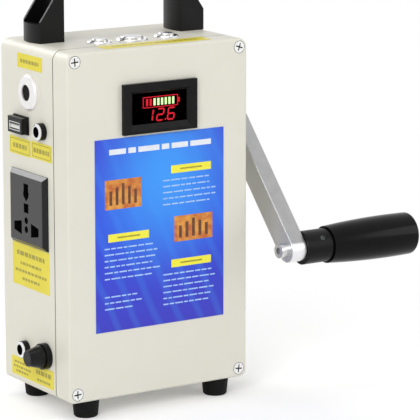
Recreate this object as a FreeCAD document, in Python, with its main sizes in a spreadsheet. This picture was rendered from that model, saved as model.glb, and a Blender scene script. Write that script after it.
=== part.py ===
import FreeCAD, Part
import Sketcher
import math
import os

# Hand crank generator. Millimetres and degrees, +X to the crank side, +Y to the back, +Z up.
# The origin lies on the floor, under the middle of the whole part. Places below are measured
# from the middle of the case, and place() moves them to the origin.

SIZES = {
    # enclosure
    "case_width": 120.0,
    "case_depth": 75.0,
    "case_height": 201.0,
    "case_wall": 3.0,
    "case_corner": 6.0,
    "case_bottom_corner": 3.5,
    "case_front_round": 1.5,
    "case_back_round": 0.6,
    "lid_depth": 15.5,
    "seam_gap": 0.5,
    "lip_thickness": 1.1,
    "lip_height": 2.0,
    "lip_clearance": 0.2,
    "gasket_inset": 0.7,
    "pillar_radius": 4.6,
    "pillar_length": 20.0,
    "rib_thickness": 1.5,
    "rib_height": 3.0,
    "screw_fit": 0.05,
    "panel_fit": 0.1,
    # lid screws
    "lid_screw_inset_x": 5.4,
    "lid_screw_inset_z": 5.2,
    "lid_screw_radius": 1.9,
    "lid_screw_length": 26.0,
    "lid_screw_head_radius": 3.65,
    "lid_screw_head_height": 2.2,
    # rubber feet
    "foot_height": 10.5,
    "foot_top_radius": 8.0,
    "foot_bottom_radius": 7.0,
    "foot_edge": 0.8,
    "foot_inset_x": 16.0,
    "foot_inset_y": 9.5,
    "foot_screw_radius": 1.9,
    "foot_screw_length": 9.3,
    "foot_screw_head_radius": 3.5,
    "foot_screw_head_height": 2.4,
    "foot_screw_recess": 4.0,
    # carry handle
    "handle_length": 109.5,
    "handle_depth": 20.0,
    "handle_height": 40.0,
    "handle_leg": 15.4,
    "handle_bar": 10.0,
    "handle_x": 1.45,
    "handle_y": 12.8,
    "handle_end_height": 12.2,
    "handle_slope_run": 19.2,
    "handle_lip_height": 10.9,
    "handle_lip_wall": 1.8,
    "handle_flange": 1.6,
    "handle_palm_wall": 3.0,
    "handle_floor": 3.0,
    "handle_corner": 1.2,
    "handle_end_swell": 2.0,
    "handle_palm_swell": 1.6,
    "handle_inner_round": 6.0,
    "handle_screw_radius": 1.95,
    "handle_screw_head_radius": 3.6,
    "handle_screw_head_height": 2.6,
    "handle_nut_size": 3.9,
    "handle_nut_height": 3.0,
    "handle_nut_seat": 0.5,
    # panel voltmeter
    "meter_drop": 34.7,
    "meter_width": 48.8,
    "meter_height": 28.8,
    "meter_proud": 2.5,
    "meter_sleeve_width": 44.6,
    "meter_sleeve_height": 25.6,
    "meter_sleeve_depth": 16.0,
    "meter_sleeve_wall": 1.4,
    "meter_side_margin": 4.2,
    "meter_top_margin": 4.4,
    "meter_bottom_margin": 1.9,
    "meter_bevel_side": 2.0,
    "meter_bevel_top": 1.4,
    "meter_bevel_bottom": 3.3,
    "meter_bevel_depth": 1.4,
    "meter_window_recess": 2.0,
    "meter_window_thickness": 1.2,
    "meter_board_thickness": 1.6,
    "meter_board_back": 3.0,
    "meter_block_thickness": 7.0,
    # stickers
    "label_thickness": 0.25,
    "panel_label_width": 86.0,
    "panel_label_height": 111.2,
    "panel_label_x": 0.65,
    "panel_label_gap": 1.4,
    "top_label_width": 70.0,
    "top_label_depth": 10.0,
    "top_label_x": 3.0,
    "top_label_front": 4.5,
    "lamp_sticker_y": 4.0,
    "lamp_sticker_drop": 10.0,
    "lamp_sticker_width": 28.0,
    "lamp_sticker_height": 8.2,
    "usb_sticker_y": 16.2,
    "usb_sticker_drop": 60.0,
    "usb_sticker_width": 24.2,
    "usb_sticker_height": 9.9,
    "output_sticker_y": -8.7,
    "output_sticker_drop": 59.5,
    "output_sticker_width": 23.0,
    "output_sticker_height": 9.7,
    "outlet_sticker_y": 5.2,
    "outlet_sticker_drop": 129.3,
    "outlet_sticker_width": 42.4,
    "outlet_sticker_height": 24.8,
    "charge_sticker_y": 4.8,
    "charge_sticker_rise": 9.95,
    "charge_sticker_width": 48.8,
    "charge_sticker_height": 10.8,
    # side panel: a drop is measured from the top of the case, a rise from its bottom
    "lamp_y": 4.6,
    "lamp_drop": 27.3,
    "lamp_rim_radius": 10.2,
    "lamp_rim_height": 2.6,
    "lamp_rim_dome": 0.5,
    "lamp_rim_bevel": 0.9,
    "lamp_bore_radius": 4.7,
    "lamp_barrel_radius": 8.0,
    "lamp_barrel_length": 16.0,
    "lamp_lens_recess": 0.8,
    "lamp_lens_length": 6.0,
    "lamp_bore_depth": 12.0,
    "usb_y": 13.85,
    "usb_drop": 46.9,
    "usb_width": 16.05,
    "usb_height": 9.3,
    "usb_proud": 4.8,
    "usb_depth": 16.0,
    "usb_flange_side": 0.4,
    "usb_flange_rise": 0.6,
    "usb_flange_thickness": 1.0,
    "usb_slot_width": 12.5,
    "usb_slot_height": 5.1,
    "usb_slot_drop": 0.5,
    "usb_slot_depth": 12.0,
    "usb_tongue_width": 11.1,
    "usb_tongue_height": 1.9,
    "usb_tongue_inset": 0.6,
    "usb_tongue_gap": 2.1,
    "jack_out_y": -10.0,
    "jack_out_drop": 47.6,
    "jack_in_y": 12.2,
    "jack_in_rise": 22.3,
    "jack_rim_margin": 0.5,
    "jack_rim_height": 4.4,
    "jack_ring_inset": 0.2,
    "jack_ring_edge": 0.3,
    "jack_ring_dome": 0.65,
    "jack_bore_radius": 3.15,
    "jack_bore_depth": 10.5,
    "jack_barrel_radius": 4.5,
    "jack_barrel_length": 15.0,
    "jack_pin_radius": 1.0,
    "jack_pin_recess": 4.0,
    "outlet_y": 5.0,
    "outlet_drop": 94.85,
    "outlet_width": 41.2,
    "outlet_height": 43.0,
    "outlet_proud": 3.0,
    "outlet_bevel": 2.4,
    "outlet_plug_width": 37.0,
    "outlet_plug_height": 38.0,
    "outlet_earth_web": 1.1,
    "outlet_earth_radius": 3.2,
    "outlet_earth_point_width": 5.2,
    "outlet_earth_point_rise": 1.6,
    "outlet_earth_point_drop": 4.5,
    "outlet_earth_slot_width": 5.4,
    "outlet_earth_slot_top": 15.0,
    "outlet_centre_z": 0.8,
    "outlet_centre_width": 5.4,
    "outlet_centre_height": 5.4,
    "outlet_hole_radius": 2.0,
    "outlet_hole_upper_z": -6.4,
    "outlet_hole_lower_z": -11.6,
    "outlet_blade_inner": 5.3,
    "outlet_blade_outer": 14.2,
    "outlet_blade_z": -11.2,
    "outlet_blade_inner_height": 8.2,
    "outlet_blade_outer_height": 4.8,
    "outlet_housing_depth": 15.0,
    "outlet_housing_wall": 2.0,
    "contact_thickness": 0.8,
    "contact_length": 10.0,
    "contact_width": 5.0,
    "contact_gap": 1.8,
    "blade_pitch": 12.7,
    "fuse_y": -11.0,
    "fuse_rise": 23.2,
    "fuse_flange_radius": 7.6,
    "fuse_flange_height": 3.6,
    "fuse_barrel_radius": 6.0,
    "fuse_barrel_length": 34.0,
    "fuse_bore_radius": 4.4,
    "fuse_stem_clearance": 0.2,
    "fuse_stem_length": 12.0,
    "fuse_cap_gap": 0.2,
    "fuse_cap_length": 8.8,
    "fuse_cap_root_radius": 6.85,
    "fuse_cap_tip_radius": 4.4,
    "fuse_cap_groove": 0.5,
    "fuse_cap_groove_place": 1.6,
    "fuse_end_wall": 2.0,
    "fuse_link_radius": 2.6,
    "fuse_link_length": 20.0,
    "fuse_link_clearance": 0.1,
    "panel_nut_height": 2.5,
    "panel_nut_margin": 3.0,
    # push buttons
    "button_seam_gap": 12.0,
    "button_plate_gap": 0.5,
    "button_right_step": 23.0,
    "button_left_step": 21.3,
    "button_rim_height": 1.0,
    "button_rim_bevel": 0.4,
    "small_rim_radius": 7.3,
    "small_barrel_radius": 6.0,
    "small_cap_radius": 4.6,
    "main_rim_radius": 9.2,
    "main_barrel_radius": 8.0,
    "main_cap_radius": 6.6,
    "button_cap_clearance": 0.3,
    "button_cap_proud": 1.4,
    "button_cap_depth": 7.0,
    "button_cap_round": 0.5,
    "button_barrel_length": 10.5,
    "button_travel_room": 2.4,
    "button_nut_margin": 2.0,
    # crank and gears
    "gear_wall_gap": 2.0625,
    "shaft_drop": 48.5,
    "shaft_radius": 5.0,
    "shaft_clearance": 0.05,
    "crank_gap": 10.0,
    "crank_radius": 100.0,
    "crank_angle": 42.9,
    "arm_width": 15.0,
    "arm_thickness": 10.0,
    "arm_end_round": 0.4,
    "arm_seat_radius": 4.0,
    "arm_seat_flat": 3.2,
    "arm_seat_clearance": 0.05,
    "arm_washer_radius": 6.5,
    "arm_washer_height": 1.0,
    "arm_screw_head_radius": 4.5,
    "arm_screw_head_height": 3.0,
    "arm_screw_radius": 2.5,
    "arm_screw_length": 14.0,
    "grip_collar_radius": 9.8,
    "grip_collar_length": 17.5,
    "grip_collar_bevel": 0.4,
    "grip_gap": 0.4,
    "grip_length": 60.0,
    "grip_start_radius": 10.9,
    "grip_end_radius": 12.4,
    "grip_end_round": 2.0,
    "grip_swell": 500.0,
    "spindle_radius": 4.0,
    "spindle_clearance": 0.08,
    "spindle_length": 46.0,
    "spindle_head_radius": 5.2,
    "spindle_head_length": 3.0,
    "spindle_head_room": 0.4,
    "collar_hole_radius": 1.0,
    "collar_hole_depth": 3.0,
    "collar_hole_place": 10.75,
    "collar_hole_angle": 51.0,
    "spindle_screw_radius": 2.5,
    "spindle_screw_head_radius": 4.25,
    "spindle_screw_head_height": 5.0,
    "spindle_screw_socket": 2.3,
    "spindle_screw_socket_depth": 2.6,
    "spindle_screw_length": 22.0,
    "pressure_angle": 25.0,
    "backlash": 0.2,
    "tooth_addendum": 0.95,
    "tooth_dedendum": 1.25,
    "drive_module": 1.25,
    "drive_gear_width": 6.0,
    "drive_gear_margin": 2.2,
    "drive_hub_radius": 8.0,
    "drive_web": 2.5,
    "drive_rim": 4.0,
    "drive_lightening_radius": 5.0,
    "idler_module": 1.0,
    "idler_wheel_width": 5.0,
    "idler_wheel_margin": 2.7,
    "idler_pinion_width": 8.0,
    "idler_pinion_margin": 1.2,
    "idler_shaft_radius": 3.0,
    "idler_hub_radius": 5.5,
    "rotor_pinion_width": 7.0,
    "rotor_pinion_margin": 1.0,
    # gearbox frame
    "plate_thickness": 3.0,
    "plate_gap": 22.5,
    "plate_back_gap": 1.5,
    "plate_seam_gap": 1.5,
    "plate_bottom_gap": 4.0,
    "post_gear_gap": 0.6,
    "plate_corner": 4.0,
    "post_radius": 3.0,
    "post_inset": 4.0,
    "gear_screw_radius": 1.5,
    "gear_screw_length": 12.0,
    "gear_screw_head_radius": 2.8,
    "gear_screw_head_height": 1.9,
    "bush_wall": 2.0,
    "bush_flange": 2.0,
    "bush_flange_thickness": 1.5,
    "bush_nose": 2.0,
    "hub_play": 0.3,
    "shaft_end_play": 0.2,
    # generator
    "generator_radius": 22.0,
    "generator_length": 30.0,
    "generator_wall": 1.5,
    "generator_nose_radius": 8.0,
    "generator_cap_thickness": 3.0,
    "generator_spigot": 2.0,
    "generator_fit": 0.1,
    "bearing_radius": 6.5,
    "bearing_width": 4.0,
    "stator_radius": 13.6,
    "stator_length": 20.0,
    "stator_gap": 0.1,
    "stator_slot_width": 4.0,
    "stator_slot_depth": 4.4,
    "stator_inset": 4.0,
    "rotor_radius": 12.6,
    "rotor_length": 18.0,
    "rotor_shaft_radius": 2.5,
    # battery and inverter
    "cell_radius": 9.2,
    "cell_length": 65.0,
    "cell_spacing": 0.3,
    "cell_side_gap": 1.0,
    "cell_rise": 55.0,
    "cell_button_radius": 3.0,
    "cell_button_length": 1.2,
    "cell_gap": 0.15,
    "holder_wall": 1.8,
    "board_x": 13.0,
    "board_back_gap": 20.6,
    "board_width": 64.0,
    "board_height": 40.0,
    "board_thickness": 1.6,
    "board_rail_height": 4.0,
    "transformer_x": 27.0,
    "transformer_rise": 21.5,
    "transformer_width": 24.0,
    "transformer_height": 22.0,
    "transformer_depth": 12.0,
    "transformer_yoke": 4.5,
    "transformer_winding_depth": 18.0,
    "sink_x": -6.0,
    "sink_rise": 21.5,
    "sink_width": 22.0,
    "sink_height": 30.0,
    "sink_depth": 16.0,
    "sink_fin": 1.4,
    "sink_base": 2.5,
}

TEETH = {"drive": 42, "idler_pinion": 14, "idler_wheel": 40, "rotor_pinion": 12}
STATOR_SLOTS = 9
LIGHTENING_HOLES = 6
SINK_FINS = 4
CELLS = 3


class Size:
    """A number together with the sheet expression that gives it."""

    def __init__(self, value, text):
        self.value = value
        self.text = text

    def joined(self, other, sign, value):
        return Size(value, "(" + self.text + " " + sign + " " + text_of(other) + ")")

    def __add__(self, other):
        return self.joined(other, "+", self.value + value_of(other))

    def __radd__(self, other):
        return self + other

    def __sub__(self, other):
        return self.joined(other, "-", self.value - value_of(other))

    def __rsub__(self, other):
        return -self + other

    def __mul__(self, other):
        return self.joined(other, "*", self.value * value_of(other))

    def __rmul__(self, other):
        return self * other

    def __truediv__(self, other):
        return self.joined(other, "/", self.value / value_of(other))

    def __neg__(self):
        return self.joined(-1, "*", -self.value)


def value_of(size):
    return size.value if isinstance(size, Size) else float(size)


def text_of(size):
    return size.text if isinstance(size, Size) else repr(float(size))


def sine(angle):
    return Size(math.sin(math.radians(angle.value)), "sin(" + angle.text + ")")


def cosine(angle):
    return Size(math.cos(math.radians(angle.value)), "cos(" + angle.text + ")")


class Dimensions:
    """The cells of the sheet, as attributes."""

    def __init__(self, sheet, values):
        self.sheet = sheet
        self.rows = 0
        for name, value in values.items():
            self.add(name, str(value), value)

    def add(self, name, content, value):
        self.rows += 1
        cell = "B" + str(self.rows)
        self.sheet.set("A" + str(self.rows), name)
        self.sheet.set(cell, content)
        self.sheet.setAlias(cell, name)
        setattr(self, name, Size(value, "Sizes." + name))

    def derive(self, name, size):
        """A cell that follows from the others."""
        self.add(name, "=" + size.text.replace("Sizes.", ""), size.value)


doc = FreeCAD.newDocument("hand_crank_generator")
size_sheet = doc.addObject("Spreadsheet::Sheet", "Sizes")
d = Dimensions(size_sheet, SIZES)
doc.recompute()
nodes = {}

# Places that follow from the driving dimensions.
left = -d.case_width / 2
right = d.case_width / 2
front = -d.case_depth / 2
back = d.case_depth / 2
bottom = d.foot_height + 0
top = d.foot_height + d.case_height
middle = d.foot_height + d.case_height / 2
seam = front + d.lid_depth
foot_x = right - d.foot_inset_x
foot_y = back - d.foot_inset_y
button_y = seam + d.button_seam_gap
drive_tip = d.drive_module * (TEETH["drive"] / 2 + d.tooth_addendum)
shaft_y = back - d.case_wall - d.gear_wall_gap - drive_tip
shaft_z = top - d.shaft_drop
inner_right = right - d.case_wall
gear_reach = d.drive_module * (TEETH["drive"] + TEETH["idler_pinion"]) / 2
rotor_reach = d.idler_module * (TEETH["idler_wheel"] + TEETH["rotor_pinion"]) / 2
idler_z = shaft_z - gear_reach
rotor_z = idler_z - rotor_reach
outer_plate_x = inner_right - d.plate_thickness
inner_plate_x = outer_plate_x - d.plate_gap - d.plate_thickness
button_right_x = inner_plate_x - d.button_plate_gap - d.small_barrel_radius
button_main_x = button_right_x - d.button_right_step
button_left_x = button_main_x - d.button_left_step
plate_bottom = rotor_z - d.generator_radius - d.plate_bottom_gap
plate_top = shaft_z + drive_tip + d.post_gear_gap + d.post_radius + d.post_inset
plate_height = plate_top - plate_bottom
plate_back = back - d.case_wall - d.plate_back_gap
plate_front = seam + d.plate_seam_gap
pillar_room = d.pillar_radius + d.lip_clearance
floor_z = bottom + d.case_wall
holder_face = back - d.case_wall - d.holder_wall
cell_y = holder_face - d.cell_radius - d.cell_gap
cell_x = left + d.case_wall + d.outlet_housing_depth + d.cell_side_gap + d.cell_radius
cell_z = bottom + d.cell_rise
cell_pitch = 2 * d.cell_radius + d.cell_spacing
cell_room = d.cell_length + d.cell_button_length + 2 * d.cell_gap
holder_bottom = cell_z - d.cell_gap - d.holder_wall
holder_top = holder_bottom + cell_room + 2 * d.holder_wall
board_y = back - d.case_wall - d.board_back_gap - d.board_thickness
transformer_z = floor_z + d.transformer_rise
sink_z = floor_z + d.sink_rise
lamp_z = top - d.lamp_drop
usb_z = top - d.usb_drop
jack_out_z = top - d.jack_out_drop
jack_in_z = bottom + d.jack_in_rise
jack_rim = d.jack_barrel_radius + d.jack_rim_margin
outlet_z = top - d.outlet_drop
centre_top = outlet_z + d.outlet_centre_z + d.outlet_centre_height / 2
earth_z = centre_top + d.outlet_earth_web + d.outlet_earth_point_drop
fuse_z = bottom + d.fuse_rise
meter_z = top - d.meter_drop
meter_top = meter_z + d.meter_height / 2
meter_bottom = meter_z - d.meter_height / 2
panel_label_top = meter_z - d.meter_height / 2 - d.panel_label_gap
handle_nut_top = top - d.case_wall + d.handle_nut_seat
pocket_run = d.handle_leg - d.handle_palm_wall - d.handle_lip_wall
arm_x = right + d.crank_gap
grip_y = shaft_y - d.crank_radius * sine(d.crank_angle)
grip_z = shaft_z - d.crank_radius * cosine(d.crank_angle)
collar_x = arm_x + d.arm_thickness
grip_x = collar_x + d.grip_collar_length + d.grip_gap
grip_end = grip_x + d.grip_length
fuse_cap_root = left - d.fuse_flange_height - d.fuse_cap_gap
fuse_cap_tip = fuse_cap_root - d.fuse_cap_length

# The middle of the case as seen from the origin.
d.derive("case_x", -(grip_end + fuse_cap_tip) / 2)
d.derive("case_y", -(grip_y - d.grip_end_radius + back) / 2)

TURNS = {
    "x": FreeCAD.Rotation(FreeCAD.Vector(0, 1, 0), 90),
    "-x": FreeCAD.Rotation(FreeCAD.Vector(0, 1, 0), -90),
    "y": FreeCAD.Rotation(FreeCAD.Vector(1, 0, 0), -90),
    "-y": FreeCAD.Rotation(FreeCAD.Vector(1, 0, 0), 90),
    "z": FreeCAD.Rotation(),
    "-z": FreeCAD.Rotation(FreeCAD.Vector(1, 0, 0), 180),
}
SKETCH_NORMALS = {"XY": ("z", 1), "XZ": ("y", -1), "YZ": ("x", 1)}


def bind(item, prop, size):
    """Set a property and tie it to the sheet."""
    if isinstance(size, Size):
        item.setExpression(prop, size.text)
    else:
        item.setExpression(prop, repr(float(size)))


def place(item, at, axis="z"):
    """Put an item at a place measured from the middle of the case, on the floor."""
    at = (d.case_x + at[0], d.case_y + at[1], at[2])
    item.Placement = FreeCAD.Placement(FreeCAD.Vector(*[value_of(v) for v in at]), TURNS[axis])
    for letter, size in zip("xyz", at):
        if isinstance(size, Size):
            bind(item, "Placement.Base." + letter, size)
    return item


def box(name, length, width, height, at):
    item = doc.addObject("Part::Box", name)
    bind(item, "Length", length)
    bind(item, "Width", width)
    bind(item, "Height", height)
    return place(item, at)


def cylinder(name, radius, height, at, axis="z"):
    item = doc.addObject("Part::Cylinder", name)
    bind(item, "Radius", radius)
    bind(item, "Height", height)
    return place(item, at, axis)


def cone(name, radius, end_radius, height, at, axis="z"):
    item = doc.addObject("Part::Cone", name)
    bind(item, "Radius1", radius)
    bind(item, "Radius2", end_radius)
    bind(item, "Height", height)
    return place(item, at, axis)


def hexagon(name, radius, height, at, axis="z"):
    item = doc.addObject("Part::Prism", name)
    item.Polygon = 6
    bind(item, "Circumradius", radius)
    bind(item, "Height", height)
    return place(item, at, axis)


def fuse(name, *items):
    item = doc.addObject("Part::MultiFuse", name)
    item.Shapes = list(items)
    item.Refine = True
    return item


def cut(name, base, *tools):
    item = doc.addObject("Part::Cut", name)
    item.Base = base
    item.Tool = tools[0] if len(tools) == 1 else fuse(name + "_tools", *tools)
    return item


def group(name, items):
    item = doc.addObject("Part::Compound", name)
    item.Links = list(items)
    return item


def tube(name, radius, bore, height, at, axis="z"):
    outer = cylinder(name + "_outer", radius, height, at, axis)
    inner = cylinder(name + "_bore", bore, height, at, axis)
    return cut(name, outer, inner)


def nut(name, radius, bore, height, at, axis="z"):
    outer = hexagon(name + "_hexagon", radius, height, at, axis)
    inner = cylinder(name + "_bore", bore, height, at, axis)
    return cut(name, outer, inner)


def node(name, item):
    """Name a finished sub-part."""
    item.Label = name
    nodes[name] = item
    return item


# PartDesign helpers


def new_body(name, at=(0, 0, 0)):
    body = doc.addObject("PartDesign::Body", name)
    return place(body, at)


def sketch(body, plane, offset=0):
    """An empty sketch on one of the body's origin planes, moved along the plane's row axis."""
    item = body.newObject("Sketcher::SketchObject", body.Name + "_sketch")
    support = [f for f in body.Origin.OriginFeatures if f.Role == plane + "_Plane"][0]
    item.AttachmentSupport = (support, [""])
    item.MapMode = "FlatFace"
    bind(item, ".AttachmentOffset.Base.z", offset * SKETCH_NORMALS[plane][1])
    return item


def fix_point(drawing, geometry, point, x, y):
    """Hold a sketch point at a place that the sheet gives."""
    for kind, size in (("DistanceX", x), ("DistanceY", y)):
        value = value_of(size)
        index = drawing.addConstraint(Sketcher.Constraint(kind, -1, 1, geometry, point, value))
        if isinstance(size, Size):
            drawing.setExpression("Constraints[" + str(index) + "]", size.text)


def outline(drawing, points, bulges={}):
    """A closed outline. A side is straight, or an arc that bulges to the left of its way."""
    corners = [FreeCAD.Vector(value_of(x), value_of(y), 0) for x, y in points]
    sides = []
    for i, start in enumerate(corners):
        end = corners[(i + 1) % len(corners)]
        if i not in bulges:
            line = drawing.addGeometry(Part.LineSegment(start, end), False)
            sides.append((line, 1, 2))
            continue
        chord = end - start
        rise = FreeCAD.Vector(-chord.y, chord.x, 0).normalize()
        depth = math.sqrt(bulges[i].value ** 2 - (chord.Length / 2) ** 2)
        centre = start + chord / 2 - rise * depth
        crest = centre + rise * bulges[i].value
        arc = drawing.addGeometry(Part.Arc(end, crest, start), False)
        size = drawing.addConstraint(Sketcher.Constraint("Radius", arc, bulges[i].value))
        drawing.setExpression("Constraints[" + str(size) + "]", bulges[i].text)
        sides.append((arc, 2, 1))
    for i, (side, first, last) in enumerate(sides):
        following, near, far = sides[(i + 1) % len(sides)]
        drawing.addConstraint(Sketcher.Constraint("Coincident", side, last, following, near))
    for (side, first, last), (x, y) in zip(sides, points):
        fix_point(drawing, side, first, x, y)


def rectangle(drawing, x, y, width, height):
    """A rectangle about its centre."""
    x0, x1 = x - width / 2, x + width / 2
    y0, y1 = y - height / 2, y + height / 2
    return outline(drawing, [(x0, y0), (x1, y0), (x1, y1), (x0, y1)])


def circle(drawing, x, y, radius):
    centre = FreeCAD.Vector(value_of(x), value_of(y), 0)
    ring = Part.Circle(centre, FreeCAD.Vector(0, 0, 1), value_of(radius))
    index = drawing.addGeometry(ring, False)
    fix_point(drawing, index, 3, x, y)
    size = drawing.addConstraint(Sketcher.Constraint("Radius", index, value_of(radius)))
    if isinstance(radius, Size):
        drawing.setExpression("Constraints[" + str(size) + "]", radius.text)


def rounded_rectangle(drawing, x, y, width, height, radius):
    """A rectangle about its centre, with four equal corner arcs."""
    up = FreeCAD.Vector(0, 0, 1)
    signs = [(1, -1), (1, 1), (-1, 1), (-1, -1)]
    arcs = []
    for quarter, (sx, sy) in enumerate(signs):
        cx = x + (width / 2 - radius) * sx
        cy = y + (height / 2 - radius) * sy
        ring = Part.Circle(FreeCAD.Vector(value_of(cx), value_of(cy), 0), up, value_of(radius))
        start = (quarter - 1) * math.pi / 2
        arc = drawing.addGeometry(Part.ArcOfCircle(ring, start, start + math.pi / 2), False)
        fix_point(drawing, arc, 3, cx, cy)
        size = drawing.addConstraint(Sketcher.Constraint("Radius", arc, value_of(radius)))
        drawing.setExpression("Constraints[" + str(size) + "]", text_of(radius))
        arcs.append(arc)
    for i, arc in enumerate(arcs):
        following = arcs[(i + 1) % 4]
        start = drawing.Geometry[arc].EndPoint
        end = drawing.Geometry[following].StartPoint
        line = drawing.addGeometry(Part.LineSegment(start, end), False)
        drawing.addConstraint(Sketcher.Constraint("Tangent", arc, 2, line, 1))
        drawing.addConstraint(Sketcher.Constraint("Tangent", line, 2, following, 1))


def extrude(kind, body, drawing, length, toward):
    """Pad or pocket a sketch along a row axis, such as '+y'."""
    feature = body.newObject("PartDesign::" + kind, body.Name + "_" + kind.lower())
    feature.Profile = drawing
    letter, sign = SKETCH_NORMALS[{"x": "YZ", "y": "XZ", "z": "XY"}[toward[1]]]
    along = (1 if toward[0] == "+" else -1) == sign
    feature.Reversed = (not along) if kind == "Pad" else along
    bind(feature, "Length", length)
    drawing.Visibility = False
    body.Tip = feature
    doc.recompute()
    return feature


def pad(body, drawing, length, toward):
    return extrude("Pad", body, drawing, length, toward)


def pocket(body, drawing, length, toward):
    before = body.Shape.Volume
    feature = extrude("Pocket", body, drawing, length, toward)
    if body.Shape.Volume > before - 1e-3:
        raise RuntimeError(body.Name + ": a pocket cuts nothing")
    return feature


def funnel(body, mouth, throat):
    """Cut a tapering opening from one sketch to another."""
    feature = body.newObject("PartDesign::SubtractiveLoft", body.Name + "_funnel")
    feature.Profile = mouth
    feature.Sections = [throat]
    feature.Ruled = True
    mouth.Visibility = throat.Visibility = False
    body.Tip = feature
    doc.recompute()
    return feature


def bow(chord, swell):
    """The radius of an arc that stands a swell above its chord."""
    return swell / 2 + chord * chord / (8 * swell)


def arch(drawing, reach, height, radius):
    """An open line up one leg, across and down the other, with two rounded corners."""
    up = FreeCAD.Vector(0, 0, 1)
    arcs = []
    for sign, start in ((-1, math.pi / 2), (1, 0)):
        cx, cy = sign * (reach - radius), height - radius
        ring = Part.Circle(FreeCAD.Vector(value_of(cx), value_of(cy), 0), up, value_of(radius))
        arc = drawing.addGeometry(Part.ArcOfCircle(ring, start, start + math.pi / 2), False)
        fix_point(drawing, arc, 3, cx, cy)
        size = drawing.addConstraint(Sketcher.Constraint("Radius", arc, value_of(radius)))
        drawing.setExpression("Constraints[" + str(size) + "]", text_of(radius))
        arcs.append(arc)
    near_arc, far_arc = arcs
    feet = [FreeCAD.Vector(sign * value_of(reach), 0, 0) for sign in (-1, 1)]
    near_leg = Part.LineSegment(feet[0], drawing.Geometry[near_arc].EndPoint)
    across = Part.LineSegment(
        drawing.Geometry[near_arc].StartPoint, drawing.Geometry[far_arc].EndPoint
    )
    far_leg = Part.LineSegment(drawing.Geometry[far_arc].StartPoint, feet[1])
    near_leg, across, far_leg = [
        drawing.addGeometry(line, False) for line in (near_leg, across, far_leg)
    ]
    for arc, end, line, tip in (
        (near_arc, 2, near_leg, 2),
        (near_arc, 1, across, 1),
        (far_arc, 2, across, 2),
        (far_arc, 1, far_leg, 1),
    ):
        drawing.addConstraint(Sketcher.Constraint("Tangent", arc, end, line, tip))
    fix_point(drawing, near_leg, 1, -reach, 0)
    fix_point(drawing, far_leg, 2, reach, 0)


def follow(body, drawing, path):
    """Carry a section along a path."""
    feature = body.newObject("PartDesign::AdditivePipe", body.Name + "_pipe")
    feature.Profile = drawing
    feature.Spine = path
    drawing.Visibility = path.Visibility = False
    body.Tip = feature
    doc.recompute()
    return feature


def turn(body, drawing, axis="H_Axis"):
    """Revolve a half section about an axis of its sketch."""
    feature = body.newObject("PartDesign::Revolution", body.Name + "_revolution")
    feature.Profile = drawing
    feature.ReferenceAxis = (drawing, [axis])
    feature.Angle = 360
    body.Tip = feature
    doc.recompute()
    return feature


def round_edges(body, radius, chosen, kind="Fillet"):
    """Fillet or chamfer the edges of the body's tip that a test picks."""
    tip = body.Tip
    names = ["Edge" + str(i) for i, edge in enumerate(tip.Shape.Edges, 1) if chosen(edge)]
    if not names:
        raise RuntimeError(body.Name + ": no edge to round")
    feature = body.newObject("PartDesign::" + kind, body.Name + "_" + kind.lower())
    feature.Base = (tip, names)
    bind(feature, "Radius" if kind == "Fillet" else "Size", radius)
    body.Tip = feature
    doc.recompute()
    return feature


def turned_x(name, points, y, z):
    """A body turned about an axis along X, from a half section of (x, radius) points."""
    body = new_body(name, (0, y, z))
    drawing = sketch(body, "XZ")
    outline(drawing, points)
    turn(body, drawing, "H_Axis")
    return body


def turned_z(name, points, x, y):
    """A body turned about an upright axis, from a half section of (radius, z) points."""
    body = new_body(name, (x, y, 0))
    drawing = sketch(body, "XZ")
    outline(drawing, points)
    turn(body, drawing, "V_Axis")
    return body


def in_plane(edge, letter, value, tolerance=1e-4):
    """True for an edge that lies in the plane square to a row axis at the value."""
    points = [vertex.Point for vertex in edge.Vertexes] + [edge.CenterOfMass]
    return all(abs(getattr(point, letter) - value_of(value)) < tolerance for point in points)


def at_reach(edge, reach):
    """True for an edge whose middle lies as far out along X as the reach, on either side."""
    return abs(abs(edge.CenterOfMass.x) - value_of(reach)) < 1e-4


def runs_along(edge, letter):
    """True for a straight edge parallel to a row axis."""
    if not isinstance(edge.Curve, Part.Line):
        return False
    return abs(abs(getattr(edge.Curve.Direction, letter)) - 1) < 1e-6


# Enclosure


def lid_screw_places():
    reach_x = right - d.lid_screw_inset_x
    reach_z = d.case_height / 2 - d.lid_screw_inset_z
    return [(sx * reach_x, middle + sz * reach_z) for sx in (-1, 1) for sz in (-1, 1)]


def foot_places():
    return [(sx * foot_x, sy * foot_y) for sx in (-1, 1) for sy in (-1, 1)]


def gear_screw_places():
    low = plate_bottom + d.post_inset
    high = plate_bottom + plate_height - d.post_inset
    return [(y, z) for y in (plate_front + d.post_inset, plate_back - d.post_inset) for z in (low, high)]


def handle_screw_places():
    reach = d.handle_length / 2 - d.handle_lip_wall - pocket_run / 2
    return [d.handle_x - reach, d.handle_x + reach]


def case_block(body, y, depth, face, face_round):
    """The outer block of the case, with tighter corners at its underside."""
    outer = sketch(body, "XZ", y)
    rectangle(outer, 0, middle, d.case_width, d.case_height)
    pad(body, outer, depth, "+y")
    round_edges(body, d.case_corner, lambda e: runs_along(e, "y") and in_plane(e, "z", top))
    round_edges(body, d.case_bottom_corner, lambda e: runs_along(e, "y") and in_plane(e, "z", bottom))
    round_edges(body, face_round, lambda e: in_plane(e, "y", face))


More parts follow.
